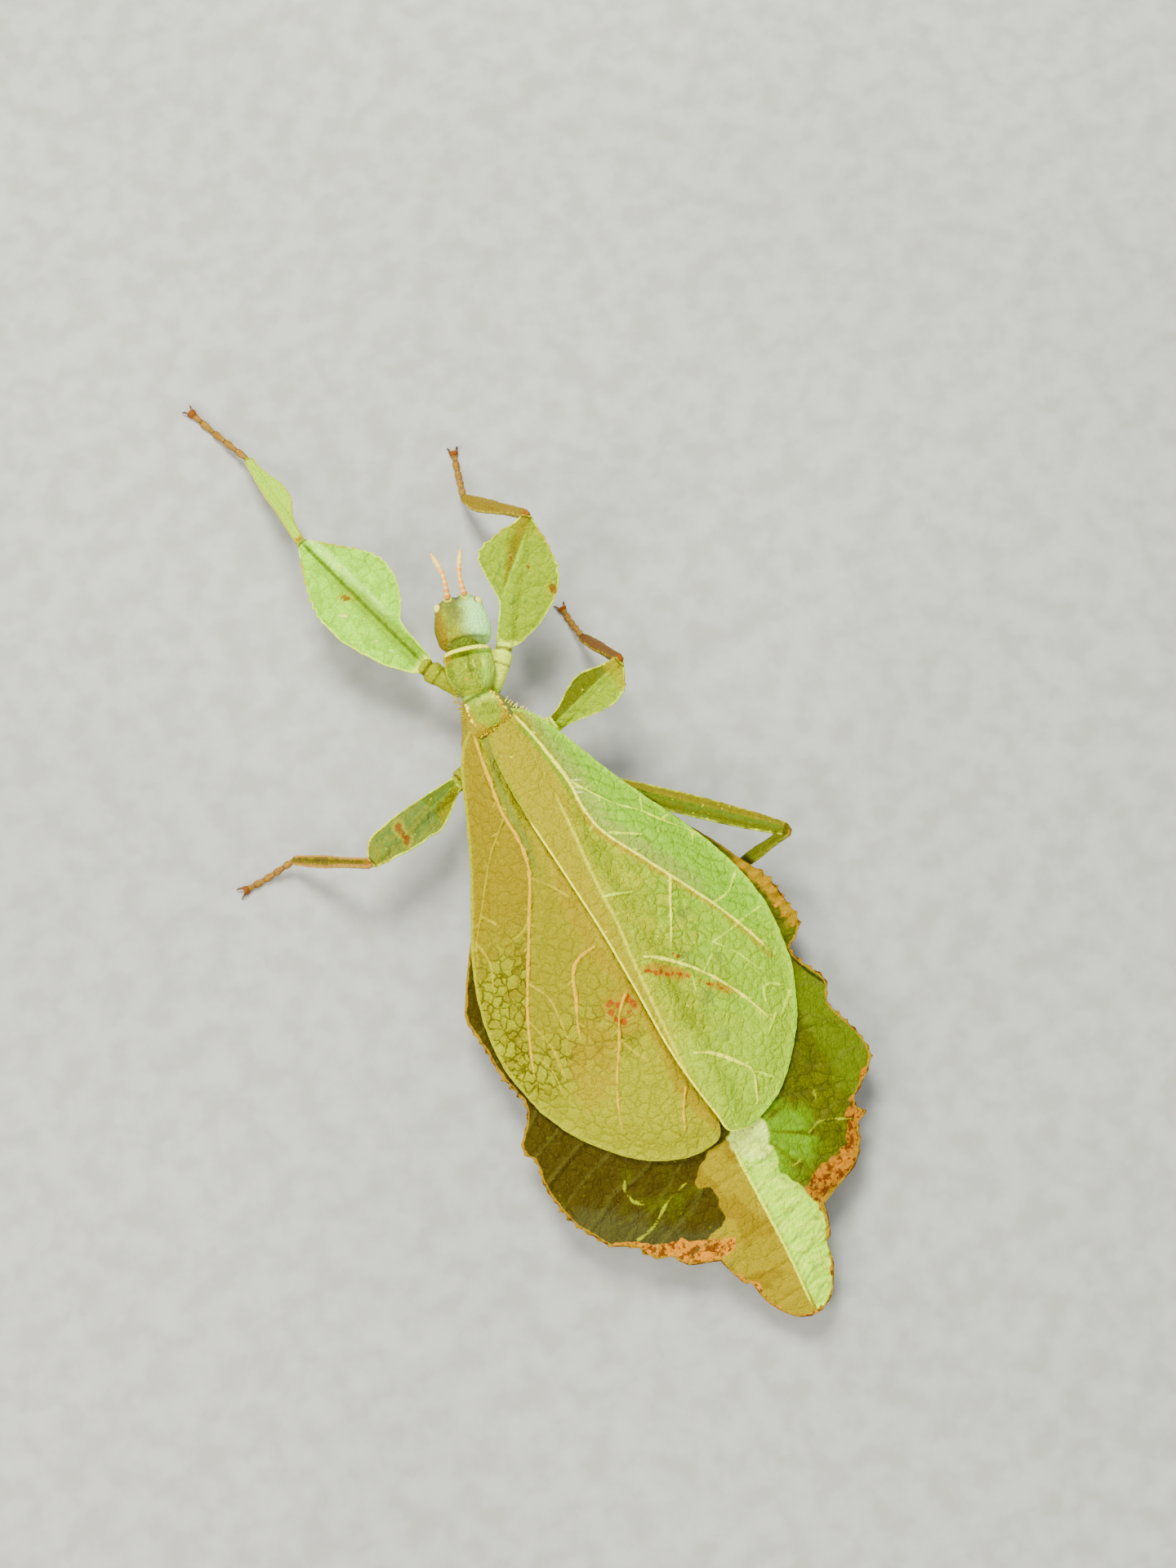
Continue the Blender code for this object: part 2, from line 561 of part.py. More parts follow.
def make_wing(name, side, look):
    margin = spline(at_back(WING_MARGIN, side), 1.5)
    inner = spline(at_back(WING_INNER[side], side), 1.9)
    outline = margin + inner
    if side < 0:
        outline.reverse()
    veins = [spline(at_back(vein, side), 1.7) for vein in VEINS[side]]
    lines = []
    for vein in veins:
        lines += [vein, vein_foot(vein, -VEIN_HALF_WIDTH), vein_foot(vein, VEIN_HALF_WIDTH)]
    if side > 0:
        lines.append([Vector((LAP_INNER, -s)) for s in range(5, 44, 3)])

    def bottom(x, y):
        lap = (1 - ease(LAP_INNER, LAP_OUTER, x)) * ease(*LAP_START, -y) if side > 0 else 0.0
        return back_height(x, y) + WING_GAP + lap * (MEMBRANE + GAP)

    def top(x, y):
        at, height = Vector((x, y)), 0.0
        for vein in veins:
            ridge = max(0.0, 1 - distance_to_line(at, vein) / VEIN_HALF_WIDTH)
            fade = ease(0, VEIN_FADE, min((at - vein[0]).length, (at - vein[-1]).length))
            height = max(height, VEIN_HEIGHT * ridge * fade)
        return bottom(x, y) + MEMBRANE + height

    return plate(name, outline, lines, 2.7, top, bottom, look)


def leaf_limb(name, start, end, lobes, core, look, teeth=None):
    """A femur or tibia: a round core with a thin leafy lobe on each side of it, toothed between two shares."""
    along = (end - start).normalized()
    up = (Vector((0, 0, 1)) - along.z * along).normalized()
    place = Matrix((along, up.cross(along), up)).transposed().to_4x4()
    place.translation = start
    length = (end - start).length
    edges = []
    for sign, lobe in ((-1, lobes[1]), (1, lobes[0])):
        edge = spline([Vector((share * length, sign * width)) for share, width in lobe], LEAF_TOOTH_PITCH / 2)
        if teeth:
            low, high = teeth[0] * length, teeth[1] * length
            edge = toothed(edge, Vector((low, 0)), LEAF_TOOTH_DEPTH, lambda p: low < p.x < high)
        edges.append(edge)

    def radius(x):
        return core * (1 - CORE_TAPER * ease(0, 1, x / length))

    def half_thickness(x, y):
        inside = radius(x) ** 2 - y * y
        return max(LEAF_EDGE, math.sqrt(inside) if inside > 0 else 0.0)

    def under(x, y):
        return -half_thickness(x, y)

    count = round(length / 2.4)
    stations = [(0.02 + 0.94 * k / count) * length for k in range(count + 1)]
    lines = [[Vector((x, share * radius(x))) for x in stations] for share in (-0.85, -0.4, 0.4, 0.85)]
    return plate(name, edges[0] + edges[1][::-1], lines, 2.2, half_thickness, under, look, place)


def make_foot(name, ankle, toe):
    """The tarsus: a row of five joints along the floor, two claws and the pad between them."""
    bend = ankle.lerp(toe, 0.35)
    bend.z = 0.5 * ankle.z
    flat = [Vector((*ankle.lerp(toe, share).xy, toe.z - 0.08)) for share in (0.6, 0.8, 1.0)]
    stations = stations_on(spline([ankle, bend, *flat], 0.1), TARSUS_SEGMENTS * 3)
    swells = [SEGMENT_SWELL[k % 3] for k in range(len(stations) - 1)] + [PAD_SWELL]
    foot = ring_solid(name, tube_rings(stations, [TARSUS_RADIUS * swell for swell in swells]), "shank")
    along = (toe - ankle).normalized()
    side = along.cross(Vector((0, 0, 1))).normalized()
    claws = []
    for sign in (-1, 1):
        root = stations[-1] - 0.25 * along + 0.12 * sign * side
        middle = root + CLAW_LENGTH * (0.6 * along + 0.3 * sign * side) + Vector((0, 0, 0.12))
        point = root + CLAW_LENGTH * (0.95 * along + 0.5 * sign * side) - Vector((0, 0, 0.2))
        radii = (CLAW_RADIUS, 0.8 * CLAW_RADIUS, 0.25 * CLAW_RADIUS)
        claws.append(ring_solid(f"{name}_claw", tube_rings([root, middle, point], radii, 6), "shank"))
    fuse(foot, claws)
    return foot


def make_leg(name, carriers):
    """One leg, from the coxa that meets the body to the foot on the floor."""
    root, base, knee, ankle, toe = (Vector(point) for point in LEGS[name])
    thigh = (knee - base).normalized()
    shank = (ankle - knee).normalized()
    path = spline([root, root.lerp(base, 0.6), base - GAP * thigh], 0.8)
    radii = [COXA_RADIUS * (COXA_NECK + (1 - COXA_NECK) * k / (len(path) - 1)) for k in range(len(path))]
    coxa = ring_solid(f"{name}_coxa", tube_rings(path, radii), "leaf")
    teeth = FEMUR_TEETH.get(name.split("_")[0])
    femur = leaf_limb(f"{name}_femur", base, knee, FEMUR_LOBES[name], FEMUR_CORE, "leaf", teeth)
    for neighbour in (*carriers, femur):
        seat(coxa, neighbour)
    lobes = TIBIA_LOBES.get(name, (PLAIN_SHANK, PLAIN_SHANK))
    tibia = leaf_limb(f"{name}_tibia", knee + 0.1 * shank, ankle, lobes, SHANK_RADIUS, "shank")
    seat(tibia, femur, SMALL_GAP)
    foot = make_foot(f"{name}_tarsus", ankle + 0.1 * shank, toe)
    seat(foot, tibia, SMALL_GAP)


def turned(at, degrees, z=0.0):
    return Matrix.Translation((*at, z)) @ Matrix.Rotation(-math.radians(degrees), 4, "Z")


def make_head():
    place = turned(HEAD_AT, HEAD_TURN)
    head = loft("head", HEAD, round_section, "head", place)
    for side, sign in (("l", -1), ("r", 1)):
        eye = ball(f"eye_{side}", (sign * EYE_AT[0], EYE_AT[1], EYE_AT[2]), (EYE_RADIUS,) * 3, "eye", place)
        seat(eye, head, SMALL_GAP)
        start = Vector((sign * ANTENNA_FROM[0], ANTENNA_FROM[1], ANTENNA_FROM[2]))
        end = Vector(ANTENNA_TO[side])
        bend = start.lerp(end, 0.5) + Vector((-0.35 * sign, 0, 0.2))
        count = 2 * ANTENNA_SEGMENTS
        stations = stations_on(spline([start - Vector((0, 0.6, 0)), start, bend, end], 0.05), count)
        radii = [
            ANTENNA_RADIUS * (1 - ANTENNA_TAPER * k / count) * ANTENNA_BEADS[k % 2] for k in range(count + 1)
        ]
        seat(ring_solid(f"antenna_{side}", tube_rings(stations, radii, 6), "feeler", place), head, SMALL_GAP)
        palp = spline([Vector((sign * x, y, z)) for x, y, z in PALP], 0.7)
        radii = [PALP_RADIUS * (1 - 0.05 * k) for k in range(len(palp))]
        seat(ring_solid(f"palp_{side}", tube_rings(palp, radii, 6), "feeler", place), head, SMALL_GAP)
    seat(ball("labrum", LABRUM_AT, LABRUM_RADII, "head", place), head, SMALL_GAP)


def make_cerci(tip):
    for side, sign in (("l", -1), ("r", 1)):
        rings = tube_rings([Vector((sign * x, y, z)) for x, y, z in CERCUS], CERCUS_RADII, 6)
        seat(ring_solid(f"cercus_{side}", rings, "tail"), tip, SMALL_GAP)


def main():
    for old in list(bpy.data.objects):
        bpy.data.objects.remove(old)
    for name in ("leaf_insect", "cutters"):
        bpy.context.scene.collection.children.link(bpy.data.collections.new(name))
    bpy.data.collections["cutters"].hide_render = True
    place = bpy.data.objects.new("body_place", None)
    place.location = (ROOT_AT[0] * MM, ROOT_AT[1] * MM, 0)
    bpy.data.collections["leaf_insect"].objects.link(place)

    make_head()
    pronotum = loft("pronotum", PRONOTUM, grooved_section, "thorax", turned(PRONOTUM_AT, PRONOTUM_TURN))
    mesothorax = loft("mesothorax", MESOTHORAX, shield_section, "thorax")
    seat(mesothorax, pronotum)
    metathorax = loft("metathorax", METATHORAX, shield_section, "thorax")
    abdomen = make_abdomen()
    make_cerci(make_abdomen_tip())
    for name, side, look in (("tegmen_l", -1, "wing_left"), ("tegmen_r", 1, "wing_right")):
        seat(make_wing(name, side, look), mesothorax)
    carriers = {
        "front": (pronotum, mesothorax), "mid": (mesothorax, metathorax), "hind": (metathorax, abdomen),
    }
    for name in LEGS:
        make_leg(name, carriers[name.split("_")[0]])


main()
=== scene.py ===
"""Leaf insect, an adult female at rest with her wings closed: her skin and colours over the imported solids.

Shapes are worked out in millimetres on the insect's own body, where x runs to her right and y forward from
the middle of the wings' root, and become metres of the frame where a mesh is made. s = -y is the distance
back from that root.
"""

import logging
import math
from collections.abc import Mapping, Sequence
from dataclasses import dataclass, field
from enum import Enum
from typing import Any

import bpy
import numpy as np
from mathutils import Matrix, Vector

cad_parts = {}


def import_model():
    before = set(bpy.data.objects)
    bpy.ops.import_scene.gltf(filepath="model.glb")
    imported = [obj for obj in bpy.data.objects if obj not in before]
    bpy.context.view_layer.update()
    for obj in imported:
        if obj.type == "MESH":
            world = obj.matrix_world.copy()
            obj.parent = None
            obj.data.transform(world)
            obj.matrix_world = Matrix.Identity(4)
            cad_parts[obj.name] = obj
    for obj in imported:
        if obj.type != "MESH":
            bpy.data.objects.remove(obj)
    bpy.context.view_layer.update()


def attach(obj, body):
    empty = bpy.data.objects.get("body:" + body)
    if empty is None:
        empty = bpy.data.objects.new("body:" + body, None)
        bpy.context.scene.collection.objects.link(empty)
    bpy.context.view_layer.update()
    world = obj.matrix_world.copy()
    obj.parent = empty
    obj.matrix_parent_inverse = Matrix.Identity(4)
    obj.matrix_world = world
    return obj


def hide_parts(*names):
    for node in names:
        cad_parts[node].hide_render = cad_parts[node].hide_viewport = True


Array = np.ndarray
Pairs = Sequence[Sequence[float]]
MM = 0.001
ROOT_AT = np.array((4.79, 8.0, 0.0))
log = logging.getLogger("leaf_insect")


class Side(Enum):
    """The insect's own left or right."""

    LEFT = -1
    RIGHT = 1


# Curves, distances and noise


class Profile:
    """A smooth curve through (place, value) points, which nowhere overshoots them."""

    def __init__(self, points: Pairs) -> None:
        """Works out the curve's slope at each point.

        Args:
            points: Pairs of place and value, by rising place.
        """
        self.at, self.value = np.array(points, float).T
        slopes = np.diff(self.value) / np.diff(self.at)
        before, after = slopes[:-1], slopes[1:]
        same_way = before * after > 0
        inner = np.where(same_way, 2 * before * after / np.where(same_way, before + after, 1), 0)
        self.slope = np.concatenate([slopes[:1], inner, slopes[-1:]])

    def __call__(self, at: Array | float) -> Array:
        """The values at these places.

        Args:
            at: Where to read the curve.

        Returns:
            The value at each place, held level beyond the ends.
        """
        at = np.clip(at, self.at[0], self.at[-1])
        k = np.clip(np.searchsorted(self.at, at, side="right") - 1, 0, len(self.at) - 2)
        width = self.at[k + 1] - self.at[k]
        t = (at - self.at[k]) / width
        start, rise = self.value[k], self.value[k + 1] - self.value[k]
        return (
            start
            + t * width * self.slope[k] * (1 - t) ** 2
            + rise * t * t * (3 - 2 * t)
            - t * t * (1 - t) * width * self.slope[k + 1]
        )


def ease(low: float, high: float, value: Array) -> Array:
    """0 below low, 1 above high, and smooth between them."""
    t = np.clip((value - low) / (high - low), 0, 1)
    return t * t * (3 - 2 * t)


def bump(distance: Array, width: float) -> Array:
    """A smooth hump that is 1 at no distance and fades out by about twice the width."""
    return np.exp(-((distance / width) ** 2))


def even_steps(line: Array, spacing: float) -> Array:
    """The same line, read at about equal steps.

    Args:
        line: The line's points, one to a row.
        spacing: The wanted step.

    Returns:
        The new points.
    """
    run = np.concatenate([[0], np.cumsum(np.linalg.norm(np.diff(line, axis=0), axis=1))])
    at = np.linspace(0, run[-1], max(2, round(run[-1] / spacing) + 1))
    return np.column_stack([np.interp(at, run, column) for column in line.T])


def bent_line(points: Pairs, spacing: float) -> Array:
    """A line through the points, bent smoothly at each and read at about equal steps.

    Args:
        points: Where it passes.
        spacing: The wanted step.

    Returns:
        The line's points, one to a row.
    """
    points = np.array(points, float)
    ends = np.vstack([2 * points[0] - points[1], points, 2 * points[-1] - points[-2]])
    t = np.linspace(0, 1, 16, endpoint=False)[:, None]
    pieces = [
        0.5 * (2 * b + (c - a) * t + (2 * a - 5 * b + 4 * c - d) * t**2 + (3 * b - a - 3 * c + d) * t**3)
        for a, b, c, d in zip(ends, ends[1:], ends[2:], ends[3:])
    ]
    return even_steps(np.vstack([*pieces, points[-1:]]), spacing)


@dataclass
class Nearness:
    """How plan points lie to a line.

    Attributes:
        distance: How far each point is from the line.
        along: Where on the line its nearest place is, as a length from the start.
        side: Positive to the left of the line's own direction.
        length: The line's whole length.
    """

    distance: Array
    along: Array
    side: Array
    length: float


def near_line(x: Array, y: Array, line: Array, reach: float = 3.0) -> Nearness:
    """Measures plan points against a line.

    Args:
        x: The points' x.
        y: The points' other coordinate, in the line's own plan.
        line: The line's points, one to a row.
        reach: Beyond this distance of the line's box a point isn't measured.

    Returns:
        The nearness of every point, with reach as the distance of those left out.
    """
    low, high = line.min(0) - reach, line.max(0) + reach
    near = (x > low[0]) & (x < high[0]) & (y > low[1]) & (y < high[1])
    px, py = x[near], y[near]
    best, along, side, run = np.full(px.shape, reach), np.zeros(px.shape), np.ones(px.shape), 0.0
    for a, b in zip(line, line[1:]):
        ux, uy = b - a
        length = math.hypot(ux, uy)
        t = np.clip(((px - a[0]) * ux + (py - a[1]) * uy) / length**2, 0, 1)
        dx, dy = px - a[0] - t * ux, py - a[1] - t * uy
        distance = np.hypot(dx, dy)
        closer = distance < best
        best = np.where(closer, distance, best)
        along = np.where(closer, run + t * length, along)
        side = np.where(closer, ux * dy - uy * dx, side)
        run += length
    made = Nearness(np.full(x.shape, reach), np.zeros(x.shape), np.ones(x.shape), run)
    made.distance[near], made.along[near], made.side[near] = best, along, side
    return made


class Grain:
    """Seeded smooth noise through space, from -1 to 1."""

    def __init__(self, seed: int) -> None:
        """Draws the lattice that the noise is read from."""
        self.lattice = np.random.default_rng(seed).uniform(-1, 1, (32, 32, 32))

    def __call__(self, points: Array, size: float) -> Array:
        """The noise at these points, for lumps about this size in millimetres.

        Args:
            points: Where to read it.
            size: The lumps' size.

        Returns:
            A value for each point.
        """
        scaled = points / size
        base = np.floor(scaled).astype(int)
        part = scaled - base
        part = part * part * (3 - 2 * part)
        total = np.zeros(points.shape[:-1])
        for corner in np.ndindex(2, 2, 2):
            weight = np.prod(np.where(corner, part, 1 - part), axis=-1)
            total += weight * self.lattice[tuple(((base + corner) & 31)[..., axis] for axis in range(3))]
        return total


GRAIN = Grain(7)


def patch(x: Array, y: Array, middle: Sequence[float], radii: Sequence[float], turn: float = 0.0) -> Array:
    """A soft oval mask of the plan, turned by degrees.

    Args:
        x: The points' x.
        y: Their other coordinate.
        middle: The oval's middle.
        radii: Its two radii.
        turn: How far it is turned, in degrees.

    Returns:
        1 inside the oval, fading to 0 across its edge.
    """
    dx, dy = x - middle[0], y - middle[1]
    c, d = math.cos(math.radians(turn)), math.sin(math.radians(turn))
    out = np.hypot((c * dx + d * dy) / radii[0], (c * dy - d * dx) / radii[1])
    return 1 - ease(0.6, 1.15, out)


# Materials


@dataclass(frozen=True)
class Colour:
    """A colour as a screen shows it, from 0 to 255."""

    red: int
    green: int
    blue: int

    def light(self) -> tuple[float, float, float, float]:
        """The colour as amounts of light, which shaders use."""
        amounts = [v / 255 for v in (self.red, self.green, self.blue)]
        return (*[v / 12.92 if v <= 0.04045 else ((v + 0.055) / 1.055) ** 2.4 for v in amounts], 1.0)


class Amount:
    """A number in a material that varies over the surface. Arithmetic on it adds Math nodes."""

    def __init__(self, recipe: "Recipe", socket: bpy.types.NodeSocket) -> None:
        """Wraps a node's output."""
        self.recipe = recipe
        self.socket = socket

    def _math(self, operation: str, *values: "Amount | float") -> "Amount":
        """A Math node of these values."""
        return self.recipe.node("ShaderNodeMath", {"operation": operation}, dict(enumerate(values)))

    def __add__(self, other: "Amount | float") -> "Amount":
        """self + other."""
        return self._math("ADD", self, other)

    def __radd__(self, other: float) -> "Amount":
        """other + self."""
        return self._math("ADD", other, self)

    def __sub__(self, other: "Amount | float") -> "Amount":
        """self - other."""
        return self._math("SUBTRACT", self, other)

    def __rsub__(self, other: float) -> "Amount":
        """other - self."""
        return self._math("SUBTRACT", other, self)

    def __mul__(self, other: "Amount | float") -> "Amount":
        """self * other."""
        return self._math("MULTIPLY", self, other)

    def __rmul__(self, other: float) -> "Amount":
        """other * self."""
        return self._math("MULTIPLY", other, self)

    def between(self, low: float, high: float) -> "Amount":
        """0 below low, 1 above high and smooth between them. With low above high it falls.

        Args:
            low: Where it starts to rise.
            high: Where it has risen.

        Returns:
            The new amount.
        """
        ends = {"Value": self, 1: low, 2: high, 3: 0.0, 4: 1.0}
        if low > high:
            ends |= {1: high, 2: low, 3: 1.0, 4: 0.0}
        return self.recipe.node("ShaderNodeMapRange", {"interpolation_type": "SMOOTHSTEP"}, ends)


class Recipe:
    """A node material while it is put together."""

    def __init__(self, name: str) -> None:
        """Starts an empty material, whose patterns lie in the frame's space.

        Args:
            name: The material's name.
        """
        self.material = bpy.data.materials.new(name)
        self.material.use_nodes = True
        self.tree = self.material.node_tree
        self.tree.nodes.clear()
        self.place = self.node("ShaderNodeTexCoord", output="Object")

    def node(
        self,
        kind: str,
        settings: Mapping[str, Any] | None = None,
        values: Mapping[int | str, Any] | None = None,
        output: int | str = 0,
    ) -> Amount:
        """Adds one node.

        Args:
            kind: Blender's name for the node's type.
            settings: The node's own properties, which are set first.
            values: For each input, a number, a colour, or another node's output to link.
            output: The output to hand back.

        Returns:
            That output of the new node.
        """
        made = self.tree.nodes.new(kind)
        for name, value in (settings or {}).items():
            setattr(made, name, value)
        for name, value in (values or {}).items():
            if isinstance(value, Amount):
                self.tree.links.new(value.socket, made.inputs[name])
            else:
                made.inputs[name].default_value = value
        return Amount(self, made.outputs[output])

    def mask(self, name: str) -> Amount:
        """A mask that the mesh carries."""
        return self.node("ShaderNodeAttribute", {"attribute_name": name}, output="Fac")

    def noise(self, size: float, detail: float = 2.0, output: str = "Fac") -> Amount:
        """Cloudy noise from 0 to 1, in lumps about this size in millimetres."""
        values = {"Vector": self.place, "Scale": 1 / (size * MM), "Detail": detail}
        return self.node("ShaderNodeTexNoise", None, values, output)

    def bent_place(self, size: float) -> Amount:
        """The place, pushed about by noise, so that cells of this size come out uneven."""
        values = {0: self.noise(0.8 * size, 2, "Color"), 1: (0.7 * size * MM,) * 3, 2: self.place}
        return self.node("ShaderNodeVectorMath", {"operation": "MULTIPLY_ADD"}, values)

    def cell(self, size: float, place: Amount, feature: str, output: str) -> Amount:
        """A cell pattern with cells about this size in millimetres."""
        values = {"Vector": place, "Scale": 1 / (size * MM)}
        return self.node("ShaderNodeTexVoronoi", {"feature": feature}, values, output)

    def mix(self, share: Amount | float, first: Any, second: Any) -> Amount:
        """The first colour turning into the second as the share rises to 1."""
        return self.node("ShaderNodeMix", {"data_type": "RGBA"}, {0: share, 6: first, 7: second}, 2)


@dataclass(frozen=True)
class Layer:
    """A colour laid over those below it, where a mask of the mesh says so.

    Attributes:
        mask: The mask's name.
        colour: What shows where the mask is 1.
        strength: How much of it shows there.
        ragged: How far noise eats into the mask.
        size: The size of that noise, in millimetres.
        edge: How soft the mask's edge stays, from 0 to 0.5.
    """

    mask: str
    colour: Colour
    strength: float = 1.0
    ragged: float = 0.3
    size: float = 0.5
    edge: float = 0.3


@dataclass(frozen=True)
class Net:
    """A net of cells in a leafy surface.

    Attributes:
        size: A cell's width in millimetres.
        line: The colour of the net's lines.
        strength: How much of it shows.
        cell: The colour that some of the cells turn to.
        cell_strength: How much they turn.
        width: The width of a line as a share of a cell.
        depth: How far the lines sink, in millimetres.
        pillow: How far the cells bulge between them, in millimetres.
        mask: The mask that limits its colours, if any.
    """

    size: float
    line: Colour
    strength: float
    cell: Colour
    cell_strength: float = 0.3
    width: float = 0.09
    depth: float = 0.03
    pillow: float = 0.05
    mask: str = ""


@dataclass(frozen=True)
class Finish:
    """How one kind of surface looks.

    Attributes:
        name: The material's name.
        base: Its main colour.
        cloud: The colour of its soft patches.
        cloud_size: Their size in millimetres.
        layers: The colours laid over these, in order.
        nets: Its nets of cells, which lie below the layers.
        speck: The colour of small specks.
        speck_share: How much of the surface they take.
        grain: The size in millimetres of its fine relief.
        relief: The height of that relief in millimetres.
        roughness: The least and the most roughness.
        coat: The weight of its clear waxy coat.
        gloss: How strongly its surface mirrors light, where 0.5 is as plastic does.
        sheen: The tint of that gloss, in linear red, green and blue.
    """

    name: str
    base: Colour
    cloud: Colour
    cloud_size: float = 2.5
    layers: tuple[Layer, ...] = ()
    nets: tuple[Net, ...] = ()
    speck: Colour | None = None
    speck_share: float = 0.12
    grain: float = 0.22
    relief: float = 0.03
    roughness: tuple[float, float] = (0.42, 0.62)
    coat: float = 0.0
    gloss: float = 0.2
    sheen: tuple[float, float, float, float] = (1.0, 0.92, 0.2, 1.0)

    def material(self) -> bpy.types.Material:
        """The finish as a material, made once."""
        return bpy.data.materials.get(self.name) or self._build()

    def _build(self) -> bpy.types.Material:
        """Puts the material's nodes together.

        Returns:
            The new material.
        """
        recipe = Recipe(self.name)
        clouds = recipe.noise(self.cloud_size, 3).between(0.38, 0.62)
        colour = recipe.mix(clouds, self.base.light(), self.cloud.light())
        fine = recipe.noise(self.grain, 3)
        height = fine * self.relief
        for net in self.nets:
            colour, height = self._netted(recipe, net, colour, height)
        for layer in self.layers:
            share = recipe.mask(layer.mask)
            if layer.ragged:
                eaten = (recipe.noise(layer.size, 3) - 0.5) * (2.4 * layer.ragged)
                share = share + eaten * share.between(0.0, 0.12)
            share = share.between(0.5 - layer.edge, 0.5 + layer.edge)
            colour = recipe.mix(share * layer.strength, colour, layer.colour.light())
        if self.speck:
            low = 0.5 + 0.5 * (0.5 - self.speck_share)
            specks = recipe.noise(0.4, 1).between(low, low + 0.06)
            colour = recipe.mix(specks * 0.5, colour, self.speck.light())
        shade = recipe.mix(fine.between(0.3, 0.7), (0.84, 0.84, 0.8, 1), (1, 1, 1, 1))
        values = {0: 1.0, 6: colour, 7: shade}
        colour = recipe.node("ShaderNodeMix", {"data_type": "RGBA", "blend_type": "MULTIPLY"}, values, 2)
        low, high = self.roughness
        normal = recipe.node(
            "ShaderNodeBump", None, {"Height": height, "Distance": MM, "Strength": 1.0}, "Normal"
        )
        values = {
            "Base Color": colour, "Roughness": low + (high - low) * recipe.noise(0.8), "Normal": normal,
            "Coat Weight": self.coat, "Coat Roughness": 0.25, "IOR": 1.45, "Specular IOR Level": self.gloss,
            "Specular Tint": self.sheen,
        }
        shader = recipe.node("ShaderNodeBsdfPrincipled", None, values)
        out = recipe.tree.nodes.new("ShaderNodeOutputMaterial")
        recipe.tree.links.new(shader.socket, out.inputs["Surface"])
        return recipe.material

    def _netted(self, recipe: Recipe, net: Net, colour: Amount, height: Amount) -> tuple[Amount, Amount]:
        """Lays a net's lines and cells over the colour and the relief.

        Args:
            recipe: The material being made.
            net: The net.
            colour: The colour below it.
            height: The relief below it.

        Returns:
            The colour and the relief with the net.
        """
        place = recipe.bent_place(net.size)
        edge = recipe.cell(net.size, place, "DISTANCE_TO_EDGE", "Distance")
        tone = recipe.node(
            "ShaderNodeSeparateColor", None, {0: recipe.cell(net.size, place, "F1", "Color")}, 0
        )
        line = edge.between(net.width, 0.2 * net.width)
        shown = recipe.noise(2.5 * net.size, 2).between(0.08, 0.42)
        if net.mask:
            shown = shown * recipe.mask(net.mask)
        colour = recipe.mix(tone.between(0.45, 0.8) * shown * net.cell_strength, colour, net.cell.light())
        colour = recipe.mix(line * shown * net.strength, colour, net.line.light())
        return colour, height - line * net.depth + edge.between(0.0, 0.4) * net.pillow


CREAM = Colour(246, 246, 55)
PINK_CREAM = Colour(218, 173, 0)

# The left wing's warm gold and olive are partly its own colour and partly painted warm light falling on the
# insect's left side.
WING_LEFT = Finish(
    "wing_left_skin", Colour(143, 144, 0), Colour(118, 112, 0), 2.2,
    (
        Layer("outer", Colour(128, 111, 0), 0.9, 0.3, 2.0, 0.5),
        Layer("grey", Colour(130, 122, 0), 0.85, 0.3, 1.6, 0.5),
        Layer("low", Colour(146, 147, 0), 0.75, 0.5, 2.0, 0.45),
        Layer("gold", Colour(150, 137, 0), 0.85, 0.12, 1.2, 0.4),
        Layer("deep", Colour(134, 113, 0), 0.7, 0.4, 1.0, 0.5),
        Layer("strip", Colour(106, 115, 31), 0.85, 0.3, 0.6, 0.45),
        Layer("blush", Colour(148, 124, 0), 0.6, 0.8, 0.9, 0.5),
        Layer("fleck", Colour(144, 66, 0), 0.95, 0.9, 0.35, 0.35),
        Layer("veinlet", Colour(174, 159, 0), 0.8, 0.2),
        Layer("yellow_vein", Colour(161, 148, 0), 0.9, 0.2),
        Layer("vein", PINK_CREAM, 0.95, 0.15), Layer("rim", Colour(156, 156, 0), 0.85, 0.25),
    ),
    (
        Net(1.15, Colour(58, 58, 0), 0.9, Colour(148, 154, 0), 0.7, 0.1, 0.05, 0.1, "cells"),
        Net(0.42, Colour(95, 85, 7), 0.35, Colour(148, 148, 0), 0.3, 0.12, 0.02, 0.02),
    ),
    Colour(161, 132, 0), 0.1,
)
